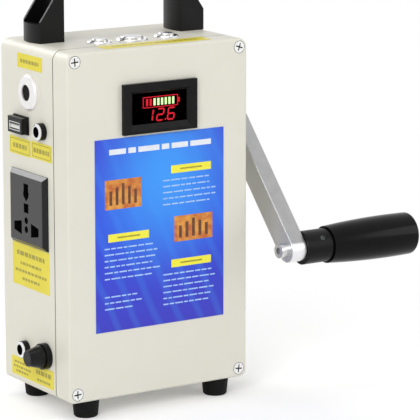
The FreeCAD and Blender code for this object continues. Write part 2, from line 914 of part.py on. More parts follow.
def rear_case():
    body = new_body("rear_case_body")
    depth = back - seam
    case_block(body, seam, depth, back, d.case_back_round)
    inner = sketch(body, "XZ", seam)
    inner_width = d.case_width - 2 * d.case_wall
    inner_height = d.case_height - 2 * d.case_wall
    rounded_rectangle(inner, 0, middle, inner_width, inner_height, d.case_corner - d.case_wall)
    pocket(body, inner, depth - d.case_wall, "+y")
    for x, z in lid_screw_places():
        pillar = sketch(body, "XZ", seam)
        circle(pillar, x, z, d.pillar_radius)
        pad(body, pillar, d.pillar_length, "+y")
    lip = sketch(body, "XZ", seam)
    seam_strips(lip, d.lip_thickness, pillar_room + d.lip_clearance)
    pad(body, lip, d.lip_height, "-y")
    holes = sketch(body, "XZ", seam)
    for x, z in lid_screw_places():
        circle(holes, x, z, d.lid_screw_radius + d.screw_fit)
    pocket(body, holes, d.pillar_length, "+y")
    side_holes(body)
    top_holes(body)
    shaft_holes(body)
    foot_holes(body, 1)
    rails = sketch(body, "XY", floor_z)
    rail_y = d.board_thickness / 2 + d.panel_fit + d.rib_thickness / 2
    for side in (-1, 1):
        y = board_y + d.board_thickness / 2 + side * rail_y
        rectangle(rails, d.board_x, y, d.board_width, d.rib_thickness)
    pad(body, rails, d.board_rail_height, "+z")
    ribs = sketch(body, "XZ", back - d.case_wall)
    rib_run = inner_plate_x - d.rib_height + right - d.case_wall
    for z in (holder_bottom - d.rib_thickness / 2, holder_top + d.rib_thickness / 2):
        rectangle(ribs, left + d.case_wall + rib_run / 2, z, rib_run, d.rib_thickness)
    pad(body, ribs, d.rib_height, "-y")
    return body


def seam_strips(drawing, thickness, corner_room):
    """Straight strips on the inner side of the four walls, clear of the corner pillars."""
    reach_x = right - d.case_wall + thickness / 2
    reach_z = d.case_height / 2 - d.case_wall + thickness / 2
    run_x = d.case_width - 2 * (corner_room + d.lid_screw_inset_x)
    run_z = d.case_height - 2 * (corner_room + d.lid_screw_inset_z)
    for side in (-1, 1):
        rectangle(drawing, side * reach_x, middle, thickness, run_z)
        rectangle(drawing, 0, middle + side * reach_z, run_x, thickness)


def foot_holes(body, row):
    """Screw holes in the bottom wall, for the back row (1) or the front row (-1) of feet."""
    holes = sketch(body, "XY", bottom)
    for side in (-1, 1):
        circle(holes, side * foot_x, row * foot_y, d.foot_screw_radius + d.screw_fit)
    pocket(body, holes, d.case_wall, "+z")


def side_holes(body):
    """Openings of the left wall: lamp, sockets, outlet and fuse."""
    holes = sketch(body, "YZ", left)
    fit = 2 * d.panel_fit
    circle(holes, d.lamp_y, lamp_z, d.lamp_barrel_radius + d.panel_fit)
    rectangle(holes, d.usb_y, usb_z, d.usb_width + fit, d.usb_height + fit)
    circle(holes, d.jack_out_y, jack_out_z, d.jack_barrel_radius + d.panel_fit)
    circle(holes, d.jack_in_y, jack_in_z, d.jack_barrel_radius + d.panel_fit)
    plug_width = d.outlet_plug_width + fit
    rectangle(holes, d.outlet_y, outlet_z, plug_width, d.outlet_plug_height + fit)
    circle(holes, d.fuse_y, fuse_z, d.fuse_barrel_radius + d.panel_fit)
    pocket(body, holes, d.case_wall, "+x")


def top_holes(body):
    """Openings of the top wall: three buttons and the two handle screws."""
    holes = sketch(body, "XY", top)
    circle(holes, button_left_x, button_y, d.small_barrel_radius + d.panel_fit)
    circle(holes, button_main_x, button_y, d.main_barrel_radius + d.panel_fit)
    circle(holes, button_right_x, button_y, d.small_barrel_radius + d.panel_fit)
    for x in handle_screw_places():
        circle(holes, x, d.handle_y, d.handle_screw_radius + d.screw_fit)
    pocket(body, holes, d.case_wall, "-z")
    seats = sketch(body, "XY", handle_nut_top)
    for x in handle_screw_places():
        circle(seats, x, d.handle_y, d.handle_nut_size + d.panel_fit)
    pocket(body, seats, d.handle_nut_height + d.panel_fit, "-z")


def shaft_holes(body):
    """Openings of the right wall: crank bushing and gearbox screws."""
    holes = sketch(body, "YZ", right)
    circle(holes, shaft_y, shaft_z, d.shaft_radius + d.bush_wall + d.screw_fit)
    for y, z in gear_screw_places():
        circle(holes, y, z, d.gear_screw_radius + d.screw_fit)
    pocket(body, holes, d.case_wall, "-x")


def front_lid():
    body = new_body("front_lid_body")
    depth = d.lid_depth - d.seam_gap
    case_block(body, front, depth, front, d.case_front_round)
    inner = sketch(body, "XZ", front + depth)
    rounded_rectangle(
        inner,
        0,
        middle,
        d.case_width - 2 * d.case_wall,
        d.case_height - 2 * d.case_wall,
        d.case_corner - d.case_wall,
    )
    pocket(body, inner, depth - d.case_wall, "-y")
    rebate = sketch(body, "XZ", front + depth)
    seam_strips(rebate, d.lip_thickness + d.lip_clearance, pillar_room)
    pocket(body, rebate, d.lip_height, "-y")
    for x, z in lid_screw_places():
        pillar = sketch(body, "XZ", front + depth)
        circle(pillar, x, z, d.pillar_radius)
        pad(body, pillar, depth - d.case_wall, "-y")
    ribs = sketch(body, "XZ", front + d.case_wall)
    rib_start = cell_x + d.cell_radius + d.holder_wall + d.cell_side_gap
    rib_run = inner_right - rib_start
    for z in (middle - d.case_height / 12, middle - d.case_height / 6):
        rectangle(ribs, rib_start + rib_run / 2, z, rib_run, d.rib_thickness)
    pad(body, ribs, d.rib_height, "+y")
    opening = sketch(body, "XZ", front)
    sleeve_width = d.meter_sleeve_width + 2 * d.panel_fit
    rectangle(opening, 0, meter_z, sleeve_width, d.meter_sleeve_height + 2 * d.panel_fit)
    for x, z in lid_screw_places():
        circle(opening, x, z, d.lid_screw_radius + d.screw_fit)
    pocket(body, opening, depth, "+y")
    foot_holes(body, -1)
    seats = []
    for i, (x, z) in enumerate(lid_screw_places()):
        rim = d.lid_screw_head_radius + d.screw_fit
        throat = d.lid_screw_radius + d.screw_fit
        seat = cone("lid_seat_" + str(i), rim, throat, d.lid_screw_head_height, (x, front, z), "y")
        seats.append(seat)
    return cut("front_lid_cut", body, *seats)


def lid_gasket():
    body = new_body("lid_gasket_body")
    ring = sketch(body, "XZ", seam - d.seam_gap)
    inset = d.gasket_inset
    outer_radius = d.case_corner - inset
    rounded_rectangle(
        ring, 0, middle, d.case_width - 2 * inset, d.case_height - 2 * inset, outer_radius
    )
    reach = d.case_wall - d.lip_thickness - d.lip_clearance
    rounded_rectangle(
        ring, 0, middle, d.case_width - 2 * reach, d.case_height - 2 * reach, d.case_corner - reach
    )
    pad(body, ring, d.seam_gap, "+y")
    return body


def lid_screws():
    screws = []
    for i, (x, z) in enumerate(lid_screw_places()):
        name = "lid_screw_" + str(i)
        head = cone(
            name + "_head",
            d.lid_screw_head_radius,
            d.lid_screw_radius,
            d.lid_screw_head_height,
            (x, front, z),
            "y",
        )
        shank = cylinder(name + "_shank", d.lid_screw_radius, d.lid_screw_length, (x, front, z), "y")
        screws.append(fuse(name, head, shank))
    return group("lid_screws_group", screws)


def rubber_feet():
    feet = []
    seat = d.foot_screw_recess
    for i, (x, y) in enumerate(foot_places()):
        hole = d.foot_screw_radius + d.screw_fit
        well = d.foot_screw_head_radius + d.screw_fit * 4
        points = [
            (hole, seat),
            (well, seat),
            (well, 0),
            (d.foot_bottom_radius - d.foot_edge, 0),
            (d.foot_bottom_radius, d.foot_edge),
            (d.foot_top_radius, d.foot_height),
            (hole, d.foot_height),
        ]
        feet.append(turned_z("rubber_foot_" + str(i), points, x, y))
    return group("rubber_feet_group", feet)


def foot_screws():
    screws = []
    for i, (x, y) in enumerate(foot_places()):
        name = "foot_screw_" + str(i)
        under = d.foot_screw_recess - d.foot_screw_head_height
        head = cylinder(
            name + "_head", d.foot_screw_head_radius, d.foot_screw_head_height, (x, y, under)
        )
        length = d.foot_screw_length + d.foot_screw_head_height
        shank = cylinder(name + "_shank", d.foot_screw_radius, length, (x, y, under))
        screws.append(fuse(name, head, shank))
    return group("foot_screws_group", screws)


# Carry handle


def carry_handle():
    """A bridge handle whose two sloping ends are open pockets."""
    body = new_body("carry_handle_body", (d.handle_x, d.handle_y, top))
    half = d.handle_length / 2
    near = -d.handle_depth / 2
    side = sketch(body, "XZ", near)
    outline(
        side,
        [
            (-half, 0),
            (-half + d.handle_leg, 0),
            (-half + d.handle_leg, d.handle_height - d.handle_bar),
            (half - d.handle_leg, d.handle_height - d.handle_bar),
            (half - d.handle_leg, 0),
            (half, 0),
            (half, d.handle_end_height),
            (half - d.handle_slope_run, d.handle_height),
            (-half + d.handle_slope_run, d.handle_height),
            (-half, d.handle_end_height),
        ],
    )
    pad(body, side, d.handle_depth, "+y")
    underside = d.handle_height - d.handle_bar
    inner_x = half - d.handle_leg
    round_edges(
        body,
        d.handle_inner_round,
        lambda e: runs_along(e, "y") and in_plane(e, "z", underside) and at_reach(e, inner_x),
    )
    palm = sketch(body, "XY")
    outline(palm, [(-inner_x, -near), (-inner_x, near)], {0: bow(d.handle_depth, d.handle_palm_swell)})
    path = sketch(body, "XZ")
    arch(path, inner_x, underside, d.handle_inner_round)
    follow(body, palm, path)
    ends = sketch(body, "XY")
    for sign in (-1, 1):
        points = [(sign * half, -sign * -near), (sign * half, sign * -near)]
        outline(ends, points[::-1], {0: bow(d.handle_depth, d.handle_end_swell)})
    pad(body, ends, d.handle_end_height, "+z")
    round_edges(body, d.handle_corner, lambda e: runs_along(e, "z") and at_reach(e, half))
    slope_rise = d.handle_height - d.handle_end_height
    for sign in (-1, 1):
        wall_x = half - d.handle_leg + d.handle_palm_wall
        lip_x = half - d.handle_lip_wall
        past_end = half + d.handle_end_swell + d.handle_lip_wall
        crest_x = half - d.handle_slope_run
        well = sketch(body, "XZ", near + d.handle_flange)
        points = [
            (wall_x, d.handle_floor),
            (lip_x, d.handle_floor),
            (lip_x, d.handle_lip_height),
            (past_end, d.handle_lip_height),
            (past_end, d.handle_height + d.handle_floor),
            (crest_x, d.handle_height + d.handle_floor),
            (crest_x, d.handle_height - d.handle_palm_wall),
            (wall_x, d.handle_end_height + slope_rise / 2),
        ]
        outline(well, [(sign * x, z) for x, z in points])
        pocket(body, well, d.handle_depth - 2 * d.handle_flange, "+y")
    holes = sketch(body, "XY")
    for x in handle_screw_places():
        circle(holes, x - d.handle_x, 0, d.handle_screw_radius + d.screw_fit)
    pocket(body, holes, d.handle_floor, "+z")
    return body


def handle_fasteners():
    pieces = []
    seat = top + d.handle_floor
    for i, x in enumerate(handle_screw_places()):
        name = "handle_screw_" + str(i)
        head = cylinder(
            name + "_head",
            d.handle_screw_head_radius,
            d.handle_screw_head_height,
            (x, d.handle_y, seat),
        )
        length = seat - handle_nut_top + d.handle_nut_height
        shank = cylinder(
            name + "_shank", d.handle_screw_radius, length, (x, d.handle_y, seat), "-z"
        )
        pieces.append(fuse(name, head, shank))
        bore = d.handle_screw_radius + d.screw_fit
        at = (x, d.handle_y, handle_nut_top)
        pieces.append(nut(name + "_nut", d.handle_nut_size, bore, d.handle_nut_height, at, "-z"))
    return group("handle_fasteners_group", pieces)


# Panel voltmeter


def opening_between(low, high, side):
    """Middle height, width and height of an opening in the meter's rim."""
    return (low + high) / 2, d.meter_width - 2 * side, high - low


meter_mouth = opening_between(
    meter_bottom + d.meter_bottom_margin, meter_top - d.meter_top_margin, d.meter_side_margin
)
meter_throat = opening_between(
    meter_bottom + d.meter_bottom_margin + d.meter_bevel_bottom,
    meter_top - d.meter_top_margin - d.meter_bevel_top,
    d.meter_side_margin + d.meter_bevel_side,
)


def display_bezel():
    """A rim with a bevelled opening in front of the lid, and a hollow sleeve through it."""
    body = new_body("display_bezel_body")
    rim_face = front - d.meter_proud
    rim = sketch(body, "XZ", rim_face)
    rectangle(rim, 0, meter_z, d.meter_width, d.meter_height)
    pad(body, rim, d.meter_proud, "+y")
    sleeve = sketch(body, "XZ", front)
    rectangle(sleeve, 0, meter_z, d.meter_sleeve_width, d.meter_sleeve_height)
    pad(body, sleeve, d.meter_sleeve_depth, "+y")
    mouth = sketch(body, "XZ", rim_face)
    rectangle(mouth, 0, *meter_mouth)
    throat = sketch(body, "XZ", rim_face + d.meter_bevel_depth)
    rectangle(throat, 0, *meter_throat)
    funnel(body, mouth, throat)
    opening = sketch(body, "XZ", rim_face + d.meter_bevel_depth)
    rectangle(opening, 0, *meter_throat)
    pocket(body, opening, d.meter_proud + d.meter_sleeve_depth - d.meter_bevel_depth, "+y")
    hollow = sketch(body, "XZ", rim_face + d.meter_window_recess)
    rectangle(
        hollow,
        0,
        meter_z,
        d.meter_sleeve_width - 2 * d.meter_sleeve_wall,
        d.meter_sleeve_height - 2 * d.meter_sleeve_wall,
    )
    depth = d.meter_proud - d.meter_window_recess + d.meter_sleeve_depth
    pocket(body, hollow, depth, "+y")
    return body


def sleeve_block(name, thickness, y):
    """A plate that fills the inside of the meter's sleeve."""
    width = d.meter_sleeve_width - 2 * d.meter_sleeve_wall
    height = d.meter_sleeve_height - 2 * d.meter_sleeve_wall
    return box(name, width, thickness, height, (-width / 2, y, meter_z - height / 2))


def display_window():
    y = front - d.meter_proud + d.meter_window_recess
    return sleeve_block("display_window_plate", d.meter_window_thickness, y)


def display_board():
    window_back = front - d.meter_proud + d.meter_window_recess + d.meter_window_thickness
    board_y = front + d.meter_sleeve_depth - d.meter_board_back
    board = sleeve_block("display_board_plate", d.meter_board_thickness, board_y)
    centre_z, width, height = meter_throat
    block = box(
        "display_block",
        width,
        board_y - window_back,
        height,
        (-width / 2, window_back, centre_z - height / 2),
    )
    return fuse("display_board_fuse", board, block)


# Stickers


def front_label():
    return box(
        "front_label_sheet",
        d.panel_label_width,
        d.label_thickness,
        d.panel_label_height,
        (
            d.panel_label_x - d.panel_label_width / 2,
            front - d.label_thickness,
            panel_label_top - d.panel_label_height,
        ),
    )


def side_sticker(name, y, z, width, height):
    at = (left - d.label_thickness, y - width / 2, z - height / 2)
    return box(name, d.label_thickness, width, height, at)


def side_labels():
    heights = {
        "lamp": top - d.lamp_sticker_drop,
        "usb": top - d.usb_sticker_drop,
        "output": top - d.output_sticker_drop,
        "outlet": top - d.outlet_sticker_drop,
        "charge": bottom + d.charge_sticker_rise,
    }
    sheets = []
    for name, z in heights.items():
        y, width, height = [getattr(d, name + "_sticker_" + key) for key in ("y", "width", "height")]
        sheets.append(side_sticker(name + "_sticker", y, z, width, height))
    return group("side_labels_group", sheets)


def top_label():
    return box(
        "top_label_sheet",
        d.top_label_width,
        d.top_label_depth,
        d.label_thickness,
        (d.top_label_x - d.top_label_width / 2, front + d.top_label_front, top),
    )


# Side panel, every piece seated in its own hole of the left wall


def lamp_bezel():
    face = left - d.lamp_rim_height
    floor = face + d.lamp_bore_depth
    end = left + d.lamp_barrel_length
    points = [
        (face, d.lamp_bore_radius),
        (face + d.lamp_rim_dome, d.lamp_rim_radius - d.lamp_rim_bevel),
        (face + d.lamp_rim_dome + d.lamp_rim_bevel, d.lamp_rim_radius),
        (left, d.lamp_rim_radius),
        (left, d.lamp_barrel_radius),
        (end, d.lamp_barrel_radius),
        (end, 0),
        (floor, 0),
        (floor, d.lamp_bore_radius),
    ]
    return turned_x("lamp_bezel_body", points, d.lamp_y, lamp_z)


def lamp_lens():
    x = left - d.lamp_rim_height + d.lamp_lens_recess
    return cylinder("lamp_lens_disc", d.lamp_bore_radius, d.lamp_lens_length, (x, d.lamp_y, lamp_z), "x")


def usb_housing():
    body = new_body("usb_housing_body")
    face = left - d.usb_proud
    block = sketch(body, "YZ", face)
    rectangle(block, d.usb_y, usb_z, d.usb_width, d.usb_height)
    pad(body, block, d.usb_proud + d.usb_depth, "+x")
    flange = sketch(body, "YZ", left)
    flange_width = d.usb_width + 2 * d.usb_flange_side
    rectangle(flange, d.usb_y, usb_z, flange_width, d.usb_height + 2 * d.usb_flange_rise)
    pad(body, flange, d.usb_flange_thickness, "-x")
    slot = sketch(body, "YZ", face)
    slot_z = usb_z - d.usb_slot_drop
    rectangle(slot, d.usb_y, slot_z, d.usb_slot_width, d.usb_slot_height)
    pocket(body, slot, d.usb_slot_depth, "+x")
    return body


def usb_tongue():
    x = left - d.usb_proud + d.usb_tongue_inset
    slot_top = usb_z - d.usb_slot_drop + d.usb_slot_height / 2
    at = (x, d.usb_y - d.usb_tongue_width / 2, slot_top - d.usb_tongue_gap - d.usb_tongue_height)
    length = d.usb_slot_depth - d.usb_tongue_inset
    return box("usb_tongue_plate", length, d.usb_tongue_width, d.usb_tongue_height, at)


JACKS = {"output": (d.jack_out_y, jack_out_z), "charge": (d.jack_in_y, jack_in_z)}


def jack_bodies():
    jacks = []
    rim = left - d.jack_rim_height + d.jack_ring_dome + d.jack_ring_edge
    end = left + d.jack_barrel_length
    floor = left - d.jack_rim_height + d.jack_bore_depth
    points = [
        (rim, d.jack_bore_radius),
        (rim, jack_rim),
        (left, jack_rim),
        (left, d.jack_barrel_radius),
        (end, d.jack_barrel_radius),
        (end, 0),
        (floor, 0),
        (floor, d.jack_bore_radius),
    ]
    for name, (y, z) in JACKS.items():
        jacks.append(turned_x(name + "_jack_body", points, y, z))
    return group("jack_bodies_group", jacks)


def jack_rings():
    """Domed metal rings, foremost at the hole."""
    rings = []
    x = left - d.jack_rim_height
    edge = jack_rim - d.jack_ring_inset
    crown = (d.jack_bore_radius + edge) / 2
    points = [
        (x, d.jack_bore_radius),
        (x + d.jack_ring_dome / 4, crown),
        (x + d.jack_ring_dome, edge),
        (x + d.jack_ring_dome + d.jack_ring_edge, edge),
        (x + d.jack_ring_dome + d.jack_ring_edge, d.jack_bore_radius),
    ]
    for name, (y, z) in JACKS.items():
        rings.append(turned_x(name + "_jack_ring", points, y, z))
    return group("jack_rings_group", rings)


def jack_pins():
    pins = []
    x = left - d.jack_rim_height + d.jack_pin_recess
    length = d.jack_bore_depth - d.jack_pin_recess
    for name, (y, z) in JACKS.items():
        pins.append(cylinder(name + "_jack_pin", d.jack_pin_radius, length, (x, y, z), "x"))
    return group("jack_pins_group", pins)


def panel_nuts():
    seats = {
        "lamp": (d.lamp_barrel_radius, d.lamp_y, lamp_z),
        "output": (d.jack_barrel_radius, d.jack_out_y, jack_out_z),
        "charge": (d.jack_barrel_radius, d.jack_in_y, jack_in_z),
        "fuse": (d.fuse_barrel_radius, d.fuse_y, fuse_z),
    }
    nuts = []
    for name, (bore, y, z) in seats.items():
        at = (left + d.case_wall, y, z)
        size = bore + d.panel_nut_margin
        nuts.append(nut(name + "_nut", size, bore, d.panel_nut_height, at, "x"))
    return group("panel_nuts_group", nuts)


def ac_socket_face():
    """A bevelled plate with a universal pattern of pin apertures."""
    body = new_body("ac_socket_face_body")
    y = d.outlet_y
    z = outlet_z
    base = sketch(body, "YZ", left)
    rectangle(base, y, z, d.outlet_width, d.outlet_height)
    pad(body, base, d.outlet_proud, "-x")
    face = left - d.outlet_proud
    round_edges(body, d.outlet_bevel, lambda e: in_plane(e, "x", face), "Chamfer")
    plug = sketch(body, "YZ", left)
    rectangle(plug, y, z, d.outlet_plug_width, d.outlet_plug_height)
    pad(body, plug, d.case_wall, "+x")
    depth = d.outlet_proud + d.case_wall
    earth = sketch(body, "YZ", face)
    slot_height = z + d.outlet_earth_slot_top - earth_z
    slot_z = earth_z + slot_height / 2
    rectangle(earth, y, slot_z, d.outlet_earth_slot_width, slot_height)
    pocket(body, earth, depth, "+x")
    point = sketch(body, "YZ", face)
    reach = d.outlet_earth_point_width / 2
    shoulder_z = earth_z - d.outlet_earth_point_rise
    tip = (y, earth_z - d.outlet_earth_point_drop)
    outline(point, [(y - reach, shoulder_z), tip, (y + reach, shoulder_z)])
    pocket(body, point, depth, "+x")
    pins = sketch(body, "YZ", face)
    circle(pins, y, earth_z, d.outlet_earth_radius)
    centre_z = z + d.outlet_centre_z
    rectangle(pins, y, centre_z, d.outlet_centre_width, d.outlet_centre_height)
    circle(pins, y, z + d.outlet_hole_upper_z, d.outlet_hole_radius)
    circle(pins, y, z + d.outlet_hole_lower_z, d.outlet_hole_radius)
    blade_z = z + d.outlet_blade_z
    tall = d.outlet_blade_inner_height / 2
    low = d.outlet_blade_outer_height / 2
    for side in (-1, 1):
        near = y + side * d.outlet_blade_inner
        far = y + side * d.outlet_blade_outer
        fan = [(near, blade_z - tall), (far, blade_z - low), (far, blade_z + low), (near, blade_z + tall)]
        outline(pins, fan)
    pocket(body, pins, depth, "+x")
    return body


def ac_socket_housing():
    body = new_body("ac_socket_housing_body")
    x = left + d.case_wall
    block = sketch(body, "YZ", x)
    rectangle(block, d.outlet_y, outlet_z, d.outlet_plug_width, d.outlet_plug_height)
    pad(body, block, d.outlet_housing_depth, "+x")
    hollow = sketch(body, "YZ", x)
    wall = 2 * d.outlet_housing_wall
    inner_width = d.outlet_plug_width - wall
    rectangle(hollow, d.outlet_y, outlet_z, inner_width, d.outlet_plug_height - wall)
    pocket(body, hollow, d.outlet_housing_depth - d.outlet_housing_wall, "+x")
    return body


def ac_contacts():
    """Pairs of sprung leaves behind the earth hole and the two blade slots."""
    leaves = []
    wall_x = left + d.case_wall + d.outlet_housing_depth - d.outlet_housing_wall
    places = {
        "earth": (d.outlet_y, earth_z),
        "live": (d.outlet_y - d.blade_pitch / 2 - d.contact_gap, outlet_z + d.outlet_blade_z),
        "neutral": (d.outlet_y + d.blade_pitch / 2 + d.contact_gap, outlet_z + d.outlet_blade_z),
    }
    for name, (y, z) in places.items():
        for side in (-1, 1):
            leaf_y = y + side * (d.contact_gap / 2 + d.contact_thickness / 2) - d.contact_thickness / 2
            at = (wall_x - d.contact_length, leaf_y, z - d.contact_width / 2)
            leaf_name = name + "_leaf_" + str(len(leaves))
            sizes = (d.contact_length, d.contact_thickness, d.contact_width)
            leaves.append(box(leaf_name, *sizes, at))
    return group("ac_contacts_group", leaves)


def fuse_holder_body():
    face = left - d.fuse_flange_height
    end = left + d.fuse_barrel_length
    points = [
        (face, d.fuse_bore_radius),
        (face, d.fuse_flange_radius),
        (left, d.fuse_flange_radius),
        (left, d.fuse_barrel_radius),
        (end, d.fuse_barrel_radius),
        (end, 0),
        (end - d.fuse_end_wall, 0),
        (end - d.fuse_end_wall, d.fuse_bore_radius),
    ]
    return turned_x("fuse_holder_turned", points, d.fuse_y, fuse_z)


def fuse_cap():
    """A tapered knob with a hollow stem that holds one end of the fuse."""
    root = fuse_cap_root
    tip = fuse_cap_tip
    stem_end = root + d.fuse_stem_length
    stem = d.fuse_bore_radius - d.fuse_stem_clearance
    socket = d.fuse_link_radius + d.fuse_link_clearance
    groove = root - d.fuse_cap_groove_place
    groove_radius = d.fuse_cap_root_radius - d.fuse_cap_groove
    points = [
        (stem_end, socket),
        (stem_end, stem),
        (root, stem),
        (root, d.fuse_cap_root_radius),
        (groove + d.fuse_cap_groove, d.fuse_cap_root_radius),
        (groove, groove_radius),
        (groove - d.fuse_cap_groove, groove_radius),
        (tip, d.fuse_cap_tip_radius),
        (tip, 0),
        (left - d.fuse_link_clearance, 0),
        (left - d.fuse_link_clearance, socket),
    ]
    return turned_x("fuse_cap_turned", points, d.fuse_y, fuse_z)


def fuse_link():
    at = (left, d.fuse_y, fuse_z)
    return cylinder("fuse_link_tube", d.fuse_link_radius, d.fuse_link_length, at, "x")


# Push buttons in the top wall


BUTTONS = {
    "left": (button_left_x, d.small_rim_radius, d.small_barrel_radius, d.small_cap_radius),
    "main": (button_main_x, d.main_rim_radius, d.main_barrel_radius, d.main_cap_radius),
    "right": (button_right_x, d.small_rim_radius, d.small_barrel_radius, d.small_cap_radius),
}


def button_barrel(name):
    x, rim, barrel, cap = BUTTONS[name]
    bore = cap + d.button_cap_clearance
    rim_top = top + d.button_rim_height
    floor = rim_top + d.button_cap_proud - d.button_cap_depth - d.button_travel_room
    end = top - d.button_barrel_length
    points = [
        (bore, rim_top),
        (rim - d.button_rim_bevel, rim_top),
        (rim, rim_top - d.button_rim_bevel),
        (rim, top),
        (barrel, top),
        (barrel, end),
        (0, end),
        (0, floor),
        (bore, floor),
    ]
    return turned_z(name + "_button_barrel", points, x, button_y)


def button_cap(name):
    x, rim, barrel, cap = BUTTONS[name]
    crown = top + d.button_rim_height + d.button_cap_proud
    shoulder = d.button_cap_round
    points = [
        (0, crown),
        (cap - shoulder, crown),
        (cap, crown - shoulder),
        (cap, crown - d.button_cap_depth),
        (0, crown - d.button_cap_depth),
    ]
    return turned_z(name + "_button_cap_turned", points, x, button_y)


def button_nuts():
    nuts = []
    for name, (x, rim, barrel, cap) in BUTTONS.items():
        at = (x, button_y, top - d.case_wall)
        size = barrel + d.button_nut_margin
        nuts.append(nut(name + "_button_nut", size, barrel, d.panel_nut_height, at, "-z"))
    return group("button_nuts_group", nuts)


# Battery and inverter


def battery_holder():
    """A tray on the back wall, open to the left, with the cells standing in it side by side."""
    body = new_body("battery_holder_body")
    row = (CELLS - 1) * cell_pitch + 2 * d.cell_radius + 2 * d.cell_gap
    x0 = cell_x - d.cell_radius / 2
    x1 = cell_x + d.cell_radius + d.cell_gap + d.holder_wall
    y0 = holder_face - row - d.holder_wall
    y1 = holder_face + d.holder_wall
    plan = sketch(body, "XY", holder_bottom)
    rectangle(plan, (x0 + x1) / 2, (y0 + y1) / 2, x1 - x0, y1 - y0)
    pad(body, plan, holder_top - holder_bottom, "+z")
    hollow = sketch(body, "XY", holder_bottom + d.holder_wall)
    depth = x1 - d.holder_wall - x0
    rectangle(hollow, x0 + depth / 2, holder_face - row / 2, depth, row)
    pocket(body, hollow, cell_room, "+z")
    return body


def battery_cells():
    cells = []
    end = cell_z + d.cell_length
    points = [
        (0, cell_z),
        (d.cell_radius, cell_z),
        (d.cell_radius, end),
        (d.cell_button_radius, end),
        (d.cell_button_radius, end + d.cell_button_length),
        (0, end + d.cell_button_length),
    ]
    for i in range(CELLS):
        y = cell_y - i * cell_pitch
        cells.append(turned_z("battery_cell_" + str(i), points, cell_x, y))
    return group("battery_cells_group", cells)


def inverter_board():
    at = (d.board_x - d.board_width / 2, board_y, floor_z)
    return box("inverter_board_plate", d.board_width, d.board_thickness, d.board_height, at)


def inverter_transformer():
    """A laminated core with a window, and the winding around its middle leg."""
    body = new_body("transformer_core")
    core_y = board_y - (d.transformer_winding_depth + d.transformer_depth) / 2
    core = sketch(body, "XZ", core_y)
    rectangle(core, d.transformer_x, transformer_z, d.transformer_width, d.transformer_height)
    window_width = d.transformer_width - 2 * d.transformer_yoke
    window_height = d.transformer_height - 2 * d.transformer_yoke
    rectangle(core, d.transformer_x, transformer_z, window_width, window_height)
    pad(body, core, d.transformer_depth, "+y")
    winding = box(
        "transformer_winding",
        window_width,
        d.transformer_winding_depth,
        window_height,
        (
            d.transformer_x - window_width / 2,
            board_y - d.transformer_winding_depth,
            transformer_z - window_height / 2,
        ),
    )
    return group("transformer_group", [body, winding])


def heat_sink():
    body = new_body("heat_sink_body")
    y0 = board_y - d.sink_depth
    profile = sketch(body, "XY", sink_z - d.sink_height / 2)
    x0 = d.sink_x - d.sink_width / 2
    pitch = (d.sink_width - d.sink_fin) / (SINK_FINS - 1)
    points = [(x0, board_y)]
    for i in range(SINK_FINS):
        x = x0 + pitch * i
        points += [(x, y0), (x + d.sink_fin, y0)]
        if i < SINK_FINS - 1:
            points += [(x + d.sink_fin, board_y - d.sink_base), (x + pitch, board_y - d.sink_base)]
    points.append((x0 + d.sink_width, board_y))
    outline(profile, clean_corners(points))
    pad(body, profile, d.sink_height, "+z")
    return body


def clean_corners(points):
    """Drop a point that repeats the one before it."""
    kept = []
    for point in points:
        if not kept or abs(kept[-1][0].value - point[0].value) + abs(kept[-1][1].value - point[1].value) > 1e-6:
            kept.append(point)
    return kept


# Gearbox frame


def gearbox_plate(name, x):
    """A rounded plate with holes for the frame's screws."""
    body = new_body(name + "_body")
    plate = sketch(body, "YZ", x)
    centre_y = (plate_front + plate_back) / 2
    centre_z = plate_bottom + plate_height / 2
    width = plate_back - plate_front
    rounded_rectangle(plate, centre_y, centre_z, width, plate_height, d.plate_corner)
    pad(body, plate, d.plate_thickness, "+x")
    return body


def plate_holes(body, x, holes):
    drawing = sketch(body, "YZ", x)
    for y, z in gear_screw_places():
        circle(drawing, y, z, d.gear_screw_radius + d.screw_fit)
    for y, z, radius in holes:
        circle(drawing, y, z, radius)
    pocket(body, drawing, d.plate_thickness, "+x")
    return body


crank_bush_radius = d.shaft_radius + d.bush_wall
idler_bush_radius = d.idler_shaft_radius + d.bush_wall


def gearbox_outer_plate():
    body = gearbox_plate("gearbox_outer_plate", outer_plate_x)
    holes = [(shaft_y, shaft_z, crank_bush_radius), (shaft_y, idler_z, idler_bush_radius)]
    return plate_holes(body, outer_plate_x, holes)


def gearbox_inner_plate():
    body = gearbox_plate("gearbox_inner_plate", inner_plate_x)
    holes = [
        (shaft_y, shaft_z, crank_bush_radius),
        (shaft_y, idler_z, idler_bush_radius),
        (shaft_y, rotor_z, d.generator_nose_radius),
    ]
    return plate_holes(body, inner_plate_x, holes)


def gearbox_posts():
    posts = []
    x = inner_plate_x + d.plate_thickness
    for i, (y, z) in enumerate(gear_screw_places()):
        name = "gearbox_post_" + str(i)
        bore = d.gear_screw_radius + d.screw_fit
        posts.append(tube(name, d.post_radius, bore, d.plate_gap, (x, y, z), "x"))
    return group("gearbox_posts_group", posts)


def gearbox_screws():
    """Four screws through the wall into the posts, and four from inside the case."""
    screws = []
    for i, (y, z) in enumerate(gear_screw_places()):
        for x, axis, turned in ((right, "-x", "x"), (inner_plate_x, "x", "-x")):
            name = "gearbox_screw_" + str(len(screws))
            at = (x, y, z)
            radius = d.gear_screw_radius
            shank = cylinder(name + "_shank", radius, d.gear_screw_length, at, axis)
            head = cylinder(
                name + "_head", d.gear_screw_head_radius, d.gear_screw_head_height, at, turned
            )
            screws.append(fuse(name, shank, head))
    return group("gearbox_screws_group", screws)


